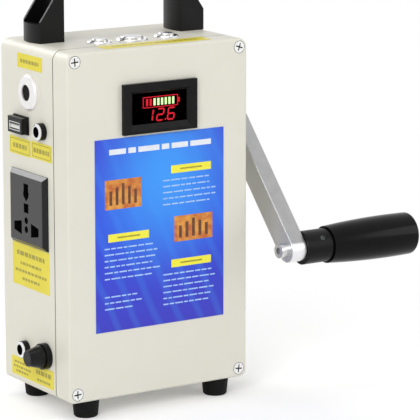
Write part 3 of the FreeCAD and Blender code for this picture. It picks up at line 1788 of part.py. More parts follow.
def bush(name, shaft_radius, face, flange_side, length, z):
    """A flanged bushing whose flange lies on the gear side of its plate."""
    bore = shaft_radius + d.shaft_clearance
    radius = shaft_radius + d.bush_wall
    edge = face + flange_side * d.bush_flange_thickness
    points = [
        (edge, bore),
        (edge, radius + d.bush_flange),
        (face, radius + d.bush_flange),
        (face, radius),
        (face - flange_side * length, radius),
        (face - flange_side * length, bore),
    ]
    return turned_x(name, points, shaft_y, z)


def shaft_bushings():
    inner_face = inner_plate_x + d.plate_thickness
    through = d.plate_thickness + d.case_wall + d.bush_nose
    bushes = [
        bush("crank_bush_outer", d.shaft_radius, outer_plate_x, -1, through, shaft_z),
        bush("crank_bush_inner", d.shaft_radius, inner_face, 1, d.plate_thickness, shaft_z),
        bush("idler_bush_outer", d.idler_shaft_radius, outer_plate_x, -1, d.plate_thickness, idler_z),
        bush("idler_bush_inner", d.idler_shaft_radius, inner_face, 1, d.plate_thickness, idler_z),
    ]
    return group("shaft_bushings_group", bushes)


# Gears


def involute(angle):
    return math.tan(angle) - angle


def gear_face(module, teeth, phase):
    """A spur gear's outline in the YZ plane about the X axis. The phase is a tooth's direction."""
    pressure = math.radians(d.pressure_angle.value)
    pitch = module.value * teeth / 2
    base = pitch * math.cos(pressure)
    tip = pitch + d.tooth_addendum.value * module.value
    root = pitch - d.tooth_dedendum.value * module.value
    half = math.pi / (2 * teeth) - d.backlash.value / (4 * pitch)

    def half_angle(radius):
        return half + involute(pressure) - involute(math.acos(min(1.0, base / radius)))

    def point(radius, angle):
        return FreeCAD.Vector(0, radius * math.cos(angle), radius * math.sin(angle))

    start = max(base, root)
    middle_radius = (start + tip) / 2
    edges = []
    for i in range(teeth):
        centre = math.radians(phase) + 2 * math.pi * i / teeth
        following = centre + math.pi / teeth
        flanks = []
        for side in (-1, 1):
            radii = (start, middle_radius, tip)
            flanks.append([point(r, centre + side * half_angle(r)) for r in radii])
        rising, falling = flanks[0], flanks[1][::-1]
        foot = half_angle(start)
        if start > root:
            edges.append(Part.makeLine(point(root, centre - foot), rising[0]))
        edges.append(Part.Arc(*rising).toShape())
        edges.append(Part.Arc(rising[2], point(tip, centre), falling[0]).toShape())
        edges.append(Part.Arc(*falling).toShape())
        if start > root:
            edges.append(Part.makeLine(falling[2], point(root, centre + foot)))
        gap_end = point(root, centre + 2 * math.pi / teeth - foot)
        edges.append(Part.Arc(point(root, centre + foot), point(root, following), gap_end).toShape())
    return Part.Face(Part.Wire(edges))


def disc(radius, x, length):
    return Part.makeCylinder(radius.value, length.value, FreeCAD.Vector(x.value, 0, 0), FreeCAD.Vector(1, 0, 0))


def spur_gear(module, teeth, phase, x, width):
    """The teeth of a gear, from x on, about the X axis."""
    solid = gear_face(module, teeth, phase).extrude(FreeCAD.Vector(width.value, 0, 0))
    solid.translate(FreeCAD.Vector(x.value, 0, 0))
    return solid


def gear_node(name, shape, z):
    item = doc.addObject("Part::Feature", name)
    item.Shape = shape
    return place(item, (0, shaft_y, z))


hub_start = inner_plate_x + d.plate_thickness + d.bush_flange_thickness + d.hub_play
hub_end = outer_plate_x - d.bush_flange_thickness - d.hub_play
drive_x = hub_end - d.drive_gear_margin - d.drive_gear_width


def drive_gear():
    """The large gear on the crank shaft: rim, thin web with round holes, and a long hub."""
    teeth = TEETH["drive"]
    shape = spur_gear(d.drive_module, teeth, -90, drive_x, d.drive_gear_width)
    pitch = d.drive_module * teeth / 2
    rim_inside = pitch - d.tooth_dedendum * d.drive_module - d.drive_rim
    recess = (d.drive_gear_width - d.drive_web) / 2
    for x in (drive_x, drive_x + d.drive_gear_width - recess):
        ring = disc(rim_inside, x, recess).cut(disc(d.drive_hub_radius, x, recess))
        shape = shape.cut(ring)
    reach = (rim_inside.value + d.drive_hub_radius.value) / 2
    for i in range(LIGHTENING_HOLES):
        angle = 2 * math.pi * i / LIGHTENING_HOLES
        hole = disc(d.drive_lightening_radius, drive_x, d.drive_gear_width)
        hole.translate(FreeCAD.Vector(0, reach * math.cos(angle), reach * math.sin(angle)))
        shape = shape.cut(hole)
    shape = shape.fuse(disc(d.drive_hub_radius, hub_start, hub_end - hub_start))
    shape = shape.cut(disc(d.shaft_radius, hub_start, hub_end - hub_start))
    return gear_node("drive_gear_shape", shape.removeSplitter(), shaft_z)


def idler_gears():
    """The pinion that the drive gear turns and the wheel that turns the rotor, on one hub."""
    pinion_teeth = TEETH["idler_pinion"]
    pinion_x = hub_end - d.idler_pinion_margin - d.idler_pinion_width
    phase = 90 + 180 / pinion_teeth
    pinion = spur_gear(d.drive_module, pinion_teeth, phase, pinion_x, d.idler_pinion_width)
    wheel_x = hub_start + d.idler_wheel_margin
    wheel = spur_gear(d.idler_module, TEETH["idler_wheel"], -90, wheel_x, d.idler_wheel_width)
    shape = disc(d.idler_hub_radius, hub_start, hub_end - hub_start).fuse([pinion, wheel])
    shape = shape.cut(disc(d.idler_shaft_radius, hub_start, hub_end - hub_start))
    return gear_node("idler_gears_shape", shape.removeSplitter(), idler_z)


def idler_shaft():
    x = inner_plate_x + d.shaft_end_play
    end = outer_plate_x + d.plate_thickness - d.shaft_end_play
    at = (x, shaft_y, idler_z)
    return cylinder("idler_shaft_rod", d.idler_shaft_radius, end - x, at, "x")


def rotor_pinion():
    teeth = TEETH["rotor_pinion"]
    x = hub_start + d.idler_wheel_margin - d.rotor_pinion_margin
    shape = spur_gear(d.idler_module, teeth, 90 + 180 / teeth, x, d.rotor_pinion_width)
    shape = shape.cut(disc(d.rotor_shaft_radius, x, d.rotor_pinion_width))
    return gear_node("rotor_pinion_shape", shape, rotor_z)


# Generator


can_x = inner_plate_x - d.generator_length


def generator_can():
    nose_end = inner_plate_x + d.plate_thickness
    points = [
        (can_x, d.generator_radius - d.generator_wall),
        (can_x, d.generator_radius),
        (inner_plate_x, d.generator_radius),
        (inner_plate_x, d.generator_nose_radius),
        (nose_end, d.generator_nose_radius),
        (nose_end, d.bearing_radius),
        (inner_plate_x - d.generator_wall, d.bearing_radius),
        (inner_plate_x - d.generator_wall, d.generator_radius - d.generator_wall),
    ]
    return turned_x("generator_can_body", points, shaft_y, rotor_z)


def generator_end_cap():
    spigot = d.generator_radius - d.generator_wall - d.generator_fit
    inside = can_x + d.generator_spigot
    points = [
        (can_x - d.generator_cap_thickness, 0),
        (can_x - d.generator_cap_thickness, d.generator_radius),
        (can_x, d.generator_radius),
        (can_x, spigot),
        (inside, spigot),
        (inside, d.bearing_radius),
        (inside - d.bearing_width, d.bearing_radius),
        (inside - d.bearing_width, 0),
    ]
    return turned_x("generator_end_cap_body", points, shaft_y, rotor_z)


def generator_bearings():
    rings = []
    bore = d.rotor_shaft_radius + d.shaft_clearance
    back_x = can_x + d.generator_spigot - d.bearing_width
    front_x = inner_plate_x + d.plate_thickness - d.bearing_width
    for name, x in (("back_bearing", back_x), ("front_bearing", front_x)):
        at = (x, shaft_y, rotor_z)
        rings.append(tube(name, d.bearing_radius, bore, d.bearing_width, at, "x"))
    return group("generator_bearings_group", rings)


def stator_coils():
    """A ring with slots for the windings, open to the rotor."""
    body = new_body("stator_body", (can_x + d.stator_inset, shaft_y, rotor_z))
    ring = sketch(body, "YZ")
    circle(ring, 0, 0, d.generator_radius - d.generator_wall - d.stator_gap)
    circle(ring, 0, 0, d.stator_radius)
    pad(body, ring, d.stator_length, "+x")
    slot = sketch(body, "YZ")
    middle_z = d.stator_radius + d.stator_slot_depth / 2 - d.stator_slot_width / 4
    rectangle(slot, 0, middle_z, d.stator_slot_width, d.stator_slot_depth + d.stator_slot_width / 2)
    first = pocket(body, slot, d.stator_length, "+x")
    pattern = body.newObject("PartDesign::PolarPattern", "stator_slots")
    pattern.Originals = [first]
    axis = [f for f in body.Origin.OriginFeatures if f.Role == "X_Axis"][0]
    pattern.Axis = (axis, [""])
    pattern.Angle = 360
    pattern.Occurrences = STATOR_SLOTS
    body.Tip = pattern
    return body


def rotor_shaft():
    x = can_x + d.generator_spigot - d.bearing_width + d.shaft_end_play
    end = hub_start + d.idler_wheel_margin - d.rotor_pinion_margin + d.rotor_pinion_width
    length = end + d.bush_flange - x
    return cylinder("rotor_shaft_rod", d.rotor_shaft_radius, length, (x, shaft_y, rotor_z), "x")


def rotor_magnet():
    x = can_x + d.stator_inset + (d.stator_length - d.rotor_length) / 2
    at = (x, shaft_y, rotor_z)
    return tube("rotor_magnet_ring", d.rotor_radius, d.rotor_shaft_radius, d.rotor_length, at, "x")


# Crank


def arm_seat(name, radius, flat, x, length):
    """A round seat with one flat on its upper side."""
    bar = cylinder(name + "_bar", radius, length, (x, shaft_y, shaft_z), "x")
    at = (x, shaft_y - radius, shaft_z + flat)
    return cut(name, bar, box(name + "_flat", length, 2 * radius, radius, at))


def crank_shaft():
    x = inner_plate_x - d.bush_flange_thickness
    rod = cylinder("crank_shaft_rod", d.shaft_radius, arm_x - x, (x, shaft_y, shaft_z), "x")
    length = d.arm_thickness - d.shaft_end_play
    seat = arm_seat("crank_shaft_seat", d.arm_seat_radius, d.arm_seat_flat, arm_x, length)
    whole = fuse("crank_shaft_whole", rod, seat)
    depth = d.arm_screw_length - d.arm_washer_height
    at = (collar_x, shaft_y, shaft_z)
    return cut("crank_shaft_cut", whole, cylinder("crank_shaft_thread", d.arm_screw_radius, depth, at, "-x"))


def crank_arm():
    """A flat bar with full-round ends, drawn hanging straight down and then turned."""
    body = new_body("crank_arm_body", (arm_x, shaft_y, shaft_z))
    body.Placement.Rotation = FreeCAD.Rotation(FreeCAD.Vector(1, 0, 0), -d.crank_angle.value)
    bind(body, "Placement.Rotation.Angle", -d.crank_angle)
    bar = sketch(body, "YZ")
    length = d.crank_radius + d.arm_width
    rounded_bar(bar, 0, -d.crank_radius / 2, d.arm_width, length)
    pad(body, bar, d.arm_thickness, "+x")
    far = d.arm_thickness
    round_edges(body, d.arm_end_round, lambda e: in_plane(e, "x", 0) or in_plane(e, "x", far), "Chamfer")
    hole = sketch(body, "YZ")
    circle(hole, 0, -d.crank_radius, d.spindle_screw_radius + d.screw_fit)
    pocket(body, hole, d.arm_thickness, "+x")
    fit = d.arm_seat_clearance
    radius = d.arm_seat_radius + fit
    seat = arm_seat("crank_arm_seat", radius, d.arm_seat_flat + fit, arm_x, d.arm_thickness)
    return cut("crank_arm_cut", body, seat)


def rounded_bar(drawing, x, y, width, length):
    """An upright bar whose ends are half circles."""
    radius = width / 2
    up = FreeCAD.Vector(0, 0, 1)
    arcs = []
    for side in (-1, 1):
        cy = y + side * (length / 2 - radius)
        ring = Part.Circle(FreeCAD.Vector(value_of(x), value_of(cy), 0), up, value_of(radius))
        start = math.pi if side < 0 else 0
        arc = drawing.addGeometry(Part.ArcOfCircle(ring, start, start + math.pi), False)
        fix_point(drawing, arc, 3, x, cy)
        size = drawing.addConstraint(Sketcher.Constraint("Radius", arc, value_of(radius)))
        drawing.setExpression("Constraints[" + str(size) + "]", radius.text)
        arcs.append(arc)
    for first, second in (arcs, arcs[::-1]):
        start = drawing.Geometry[first].EndPoint
        end = drawing.Geometry[second].StartPoint
        line = drawing.addGeometry(Part.LineSegment(start, end), False)
        drawing.addConstraint(Sketcher.Constraint("Tangent", first, 2, line, 1))
        drawing.addConstraint(Sketcher.Constraint("Tangent", line, 2, second, 1))


def arm_screw():
    washer = cylinder(
        "arm_washer", d.arm_washer_radius, d.arm_washer_height, (collar_x, shaft_y, shaft_z), "x"
    )
    under = collar_x + d.arm_washer_height
    at = (under, shaft_y, shaft_z)
    head = cylinder("arm_screw_head", d.arm_screw_head_radius, d.arm_screw_head_height, at, "x")
    shank = cylinder("arm_screw_shank", d.arm_screw_radius, d.arm_screw_length, at, "-x")
    return fuse("arm_screw_fuse", washer, head, shank)


def grip_collar():
    """The collar on the arm and the spindle that carries the sleeve, turned in one piece."""
    end = collar_x + d.grip_collar_length
    bevel = d.grip_collar_bevel
    tip = end + d.spindle_length
    head_x = tip - d.spindle_head_length
    thread_end = arm_x + d.spindle_screw_length
    points = [
        (collar_x, d.spindle_screw_radius),
        (collar_x, d.grip_collar_radius - bevel),
        (collar_x + bevel, d.grip_collar_radius),
        (end - bevel, d.grip_collar_radius),
        (end, d.grip_collar_radius - bevel),
        (end, d.spindle_radius),
        (head_x, d.spindle_radius),
        (head_x, d.spindle_head_radius),
        (tip, d.spindle_head_radius),
        (tip, 0),
        (thread_end, 0),
        (thread_end, d.spindle_screw_radius),
    ]
    body = turned_x("grip_collar_body", points, grip_y, grip_z)
    hole_x = collar_x + d.collar_hole_place
    angle = d.collar_hole_angle
    floor = d.grip_collar_radius - d.collar_hole_depth
    at = (hole_x, grip_y - floor * sine(angle), grip_z + floor * cosine(angle))
    hole = cylinder("collar_pin_hole", d.collar_hole_radius, 2 * d.collar_hole_depth, at)
    hole.Placement.Rotation = FreeCAD.Rotation(FreeCAD.Vector(1, 0, 0), angle.value)
    bind(hole, "Placement.Rotation.Angle", angle)
    return cut("grip_collar_cut", body, hole)


def spindle_screw():
    """A socket head screw that holds the spindle from the case side of the arm."""
    at = (arm_x, grip_y, grip_z)
    head_height = d.spindle_screw_head_height
    head = cylinder("spindle_screw_head", d.spindle_screw_head_radius, head_height, at, "-x")
    shank = cylinder("spindle_screw_shank", d.spindle_screw_radius, d.spindle_screw_length, at, "x")
    whole = fuse("spindle_screw_whole", head, shank)
    mouth = (arm_x - head_height, grip_y, grip_z)
    depth = d.spindle_screw_socket_depth
    socket = hexagon("spindle_screw_socket", d.spindle_screw_socket, depth, mouth, "x")
    return cut("spindle_screw_cut", whole, socket)


def grip_sleeve():
    """A swelling sleeve with a closed, rounded end, hollowed to fit over the spindle."""
    body = new_body("grip_sleeve_body", (0, grip_y, grip_z))
    end = grip_end
    bore = d.spindle_radius + d.spindle_clearance
    head_room = d.spindle_head_radius + d.spindle_head_room
    collar_end = collar_x + d.grip_collar_length
    tip = collar_end + d.spindle_length
    room_start = tip - d.spindle_head_length - d.spindle_head_room
    room_end = tip + d.spindle_head_room
    section = sketch(body, "XZ")
    outline(
        section,
        [
            (grip_x, bore),
            (grip_x, d.grip_start_radius),
            (end, d.grip_end_radius),
            (end, 0),
            (room_end, 0),
            (room_end, head_room),
            (room_start, head_room),
            (room_start, bore),
        ],
        {1: d.grip_swell},
    )
    turn(body, section)
    round_edges(body, d.grip_end_round, lambda e: in_plane(e, "x", end))
    return body


# The sub-parts, each under the name of its file

node("rear_case", rear_case())
node("front_lid", front_lid())
node("lid_gasket", lid_gasket())
node("lid_screws", lid_screws())
node("rubber_feet", rubber_feet())
node("foot_screws", foot_screws())
node("carry_handle", carry_handle())
node("handle_fasteners", handle_fasteners())
node("display_bezel", display_bezel())
node("display_window", display_window())
node("display_board", display_board())
node("front_label", front_label())
node("side_labels", side_labels())
node("top_label", top_label())
node("lamp_bezel", lamp_bezel())
node("lamp_lens", lamp_lens())
node("usb_housing", usb_housing())
node("usb_tongue", usb_tongue())
node("jack_bodies", jack_bodies())
node("jack_rings", jack_rings())
node("jack_pins", jack_pins())
node("panel_nuts", panel_nuts())
node("ac_socket_face", ac_socket_face())
node("ac_socket_housing", ac_socket_housing())
node("ac_contacts", ac_contacts())
node("fuse_holder_body", fuse_holder_body())
node("fuse_cap", fuse_cap())
node("fuse_link", fuse_link())
small_barrels = [button_barrel("left"), button_barrel("right")]
node("small_button_barrels", group("small_barrels_group", small_barrels))
node("main_button_barrel", button_barrel("main"))
node("left_button_cap", button_cap("left"))
node("main_button_cap", button_cap("main"))
node("right_button_cap", button_cap("right"))
node("button_nuts", button_nuts())
node("battery_holder", battery_holder())
node("battery_cells", battery_cells())
node("inverter_board", inverter_board())
node("inverter_transformer", inverter_transformer())
node("heat_sink", heat_sink())
node("gearbox_outer_plate", gearbox_outer_plate())
node("gearbox_inner_plate", gearbox_inner_plate())
node("gearbox_posts", gearbox_posts())
node("gearbox_screws", gearbox_screws())
node("shaft_bushings", shaft_bushings())
node("crank_shaft", crank_shaft())
node("drive_gear", drive_gear())
node("idler_shaft", idler_shaft())
node("idler_gears", idler_gears())
node("rotor_shaft", rotor_shaft())
node("rotor_pinion", rotor_pinion())
node("rotor_magnet", rotor_magnet())
node("generator_can", generator_can())
node("generator_end_cap", generator_end_cap())
node("generator_bearings", generator_bearings())
node("stator_coils", stator_coils())
node("crank_arm", crank_arm())
node("arm_screw", arm_screw())
node("grip_collar", grip_collar())
node("spindle_screw", spindle_screw())
node("grip_sleeve", grip_sleeve())

doc.recompute()

for item in doc.Objects:
    if "Invalid" in item.State or "Error" in item.State:
        raise RuntimeError(item.Name + " failed: " + ", ".join(item.State))
for name, item in nodes.items():
    if item.Shape.isNull() or not item.Shape.isValid() or not item.Shape.Solids:
        raise RuntimeError(name + " has no valid solid")
    if item.Label != name:
        raise RuntimeError(name + " is not the only piece of that name")

os.makedirs("parts", exist_ok=True)
for name, item in nodes.items():
    item.Shape.exportStep("parts/" + name + ".step")
print(len(nodes), "sub-parts written")
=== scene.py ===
import math
import random
import bmesh
import bpy
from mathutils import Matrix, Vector


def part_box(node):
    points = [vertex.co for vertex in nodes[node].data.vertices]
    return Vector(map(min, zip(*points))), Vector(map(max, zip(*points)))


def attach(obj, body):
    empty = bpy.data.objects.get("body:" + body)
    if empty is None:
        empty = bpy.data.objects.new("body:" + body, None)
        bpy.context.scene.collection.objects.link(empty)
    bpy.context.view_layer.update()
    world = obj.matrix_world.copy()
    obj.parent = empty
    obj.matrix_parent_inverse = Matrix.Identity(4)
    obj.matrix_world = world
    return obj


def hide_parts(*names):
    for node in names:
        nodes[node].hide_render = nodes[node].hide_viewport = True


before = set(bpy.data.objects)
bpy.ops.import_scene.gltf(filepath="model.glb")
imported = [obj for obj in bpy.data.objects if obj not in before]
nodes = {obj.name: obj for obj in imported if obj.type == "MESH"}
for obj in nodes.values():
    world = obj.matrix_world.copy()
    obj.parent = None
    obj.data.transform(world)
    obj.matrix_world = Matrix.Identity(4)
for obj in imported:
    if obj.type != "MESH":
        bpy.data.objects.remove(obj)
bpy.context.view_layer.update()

print("frame loaded,", len(nodes), "CAD nodes")

caseMiddle = (-42.65, 18.986)


def at(x, y, z):
    # a place in millimetres from the middle of the case
    return Vector((x + caseMiddle[0], y + caseMiddle[1], z)) / 1000


# parts of a node tree that come up again and again
def newNode(tree, kind, **values):
    node = tree.nodes.new(kind)
    for name, value in values.items():
        setattr(node, name, value)
    return node


def objectPlace(tree):
    return newNode(tree, "ShaderNodeTexCoord").outputs["Object"]


def spreadOut(tree, place, **values):
    node = newNode(tree, "ShaderNodeMapping")
    for name, value in values.items():
        node.inputs[name].default_value = value
    tree.links.new(place, node.inputs["Vector"])
    return node.outputs["Vector"]


def splitUp(tree, place):
    node = newNode(tree, "ShaderNodeSeparateXYZ")
    tree.links.new(place, node.inputs[0])
    return node.outputs


def lengthOf(tree, place):
    node = newNode(tree, "ShaderNodeVectorMath", operation="LENGTH")
    tree.links.new(place, node.inputs[0])
    return node.outputs["Value"]


def combine(tree, operation, first, second=None):
    # the second can be a number or another socket
    node = newNode(tree, "ShaderNodeMath", operation=operation)
    tree.links.new(first, node.inputs[0])
    if isinstance(second, float):
        node.inputs[1].default_value = second
    elif second is not None:
        tree.links.new(second, node.inputs[1])
    return node.outputs[0]


def mapped(tree, value, start, full, top=1.0, **values):
    # 0 up to the start, the top value from where it is full
    node = newNode(tree, "ShaderNodeMapRange", **values)
    node.inputs["From Min"].default_value = start
    node.inputs["From Max"].default_value = full
    node.inputs["To Max"].default_value = top
    tree.links.new(value, node.inputs["Value"])
    return node.outputs["Result"]


def mixShaders(tree, share, first, second):
    node = newNode(tree, "ShaderNodeMixShader")
    for place, source in enumerate((share, first, second)):
        tree.links.new(source, node.inputs[place])
    return node.outputs[0]


# camera and studio
cameraSettings = {
    "azimuth": -32.84,
    "elevation": 11.73,
    "distance": 1.65973,
    "lens": 244.66,
    "sensorWidth": 36.0,
    "clipStart": 0.05,
    "clipEnd": 60.0,
    "target": (-0.00132, -0.00798, 0.11033),
}
studioSettings = {
    "floorSize": 30.0,
    "floorColour": (0.93, 0.93, 0.93, 1),
    "floorRoughness": 0.9,
    "floorLift": 0.21,
    "floorFade": (0.1, 0.3),
    "worldColour": (1.0, 1.0, 1.0, 1),
    "worldLight": 0.45,
    "lampTarget": (-0.04, 0.02, 0.11),
    "lamps": {
        # name: place, size, power
        "keyLamp": ((-1.9, -1.6, 1.5), 1.4, 31.0),
        "fillLamp": ((1.9, -1.5, 0.9), 1.6, 12.0),
        "topLamp": ((-0.2, 0.1, 2.2), 1.5, 7.0),
        "rimLamp": ((-0.5, 1.85, 1.3), 0.8, 11.0),
    },
}


def aim(item, target):
    direction = Vector(target) - item.location
    item.rotation_mode = "QUATERNION"
    item.rotation_quaternion = direction.to_track_quat("-Z", "Y")


def addCamera(settings):
    azimuth = math.radians(settings["azimuth"])
    elevation = math.radians(settings["elevation"])
    back = Vector(
        (
            math.sin(azimuth) * math.cos(elevation),
            -math.cos(azimuth) * math.cos(elevation),
            math.sin(elevation),
        )
    )
    target = Vector(settings["target"])
    bpy.ops.object.camera_add(location=target + back * settings["distance"])
    camera = bpy.context.object
    camera.name = "studioCamera"
    camera.data.sensor_width = settings["sensorWidth"]
    camera.data.lens = settings["lens"]
    camera.data.clip_start = settings["clipStart"]
    camera.data.clip_end = settings["clipEnd"]
    aim(camera, target)
    bpy.context.scene.camera = camera


def addLamp(name, target, place, size, power):
    bpy.ops.object.light_add(type="AREA", location=place)
    lamp = bpy.context.object
    lamp.name = name
    lamp.data.shape = "DISK"
    lamp.data.size = size
    lamp.data.energy = power
    aim(lamp, target)


def seenDirectly(tree):
    # 1 for rays that show the backdrop itself: from the camera, in a reflection or through glass
    path = newNode(tree, "ShaderNodeLightPath")
    seen = combine(tree, "MAXIMUM", path.outputs["Is Camera Ray"], path.outputs["Is Glossy Ray"])
    return combine(tree, "MAXIMUM", seen, path.outputs["Is Transmission Ray"])


def addStudio(settings):
    scene = bpy.context.scene
    scene.view_settings.view_transform = "Standard"
    world = bpy.data.worlds.new("studioWorld")
    scene.world = world
    world.use_nodes = True
    tree = world.node_tree
    tree.nodes.clear()
    backgrounds = []
    for strength in (settings["worldLight"], 1.0):  # for lighting, and white where it is seen
        background = newNode(tree, "ShaderNodeBackground")
        background.inputs["Color"].default_value = settings["worldColour"]
        background.inputs["Strength"].default_value = strength
        backgrounds.append(background.outputs[0])
    out = newNode(tree, "ShaderNodeOutputWorld")
    tree.links.new(mixShaders(tree, seenDirectly(tree), *backgrounds), out.inputs[0])

    bpy.ops.mesh.primitive_plane_add(size=settings["floorSize"], location=(0, 0, 0))
    floor = bpy.context.object
    floor.name = "studioFloor"
    surface = bpy.data.materials.new("studioFloorPaper")
    surface.use_nodes = True
    tree = surface.node_tree
    shader = tree.nodes["Principled BSDF"]
    shader.inputs["Base Color"].default_value = settings["floorColour"]
    shader.inputs["Roughness"].default_value = settings["floorRoughness"]
    # paper white where it is seen: a little under the object, all of it further out
    lift = newNode(tree, "ShaderNodeEmission")
    lift.inputs["Strength"].default_value = settings["floorLift"]
    raised = newNode(tree, "ShaderNodeAddShader")
    tree.links.new(shader.outputs[0], raised.inputs[0])
    tree.links.new(lift.outputs[0], raised.inputs[1])
    blank = newNode(tree, "ShaderNodeEmission")
    reach = lengthOf(tree, objectPlace(tree))
    fade = mapped(tree, reach, *settings["floorFade"], interpolation_type="SMOOTHSTEP")
    seen = mixShaders(tree, fade, raised.outputs[0], blank.outputs[0])
    mixed = mixShaders(tree, seenDirectly(tree), shader.outputs[0], seen)
    tree.links.new(mixed, tree.nodes["Material Output"].inputs["Surface"])
    floor.data.materials.append(surface)
    for name, lamp in settings["lamps"].items():
        addLamp(name, settings["lampTarget"], *lamp)


bpy.ops.object.select_all(action="DESELECT")
addCamera(cameraSettings)
addStudio(studioSettings)
print("camera and studio ready")


# finishes
def noiseAt(tree, stretch, size, detail=3.0):
    # noise on object coordinates, size in metres, stretched along an axis by a factor
    noise = newNode(tree, "ShaderNodeTexNoise")
    noise.inputs["Scale"].default_value = 1.0 / size
    noise.inputs["Detail"].default_value = detail
    place = spreadOut(tree, objectPlace(tree), Scale=[1.0 / s for s in stretch])
    tree.links.new(place, noise.inputs["Vector"])
    return noise.outputs["Fac"]


def finish(name, look):
    # one surface finish: two close colours, a fine grain in the bump, and uneven gloss
    material = bpy.data.materials.new(name)
    material.use_nodes = True
    tree = material.node_tree
    shader = tree.nodes["Principled BSDF"]
    stretch = look.get("stretch", (1, 1, 1))
    ramp = newNode(tree, "ShaderNodeValToRGB")
    first, second = ramp.color_ramp.elements
    first.position, second.position = 0.35, 0.65
    first.color = (*look["colour"], 1)
    second.color = (*look["secondColour"], 1)
    tree.links.new(noiseAt(tree, stretch, look["patchSize"]), ramp.inputs["Fac"])
    tree.links.new(ramp.outputs["Color"], shader.inputs["Base Color"])
    gloss = newNode(tree, "ShaderNodeMapRange")
    gloss.inputs["To Min"].default_value = look["roughness"][0]
    gloss.inputs["To Max"].default_value = look["roughness"][1]
    tree.links.new(noiseAt(tree, stretch, look["glossSize"]), gloss.inputs["Value"])
    tree.links.new(gloss.outputs["Result"], shader.inputs["Roughness"])
    grain = newNode(tree, "ShaderNodeBump")
    grain.inputs["Strength"].default_value = look["grainStrength"]
    grain.inputs["Distance"].default_value = look["grainDepth"]
    tree.links.new(noiseAt(tree, stretch, look["grainSize"], 2.0), grain.inputs["Height"])
    tree.links.new(grain.outputs["Normal"], shader.inputs["Normal"])
    shader.inputs["Metallic"].default_value = look.get("metallic", 0.0)
    shader.inputs["Specular IOR Level"].default_value = look.get("specular", 0.5)
    shader.inputs["Transmission Weight"].default_value = look.get("clear", 0.0)
    shader.inputs["IOR"].default_value = look.get("bending", 1.5)
    return material


# what the printed marks have in common
ink = {
    "patchSize": 0.004,
    "roughness": (0.28, 0.36),
    "glossSize": 0.003,
    "grainSize": 0.001,
    "grainStrength": 0.03,
    "grainDepth": 0.00005,
}

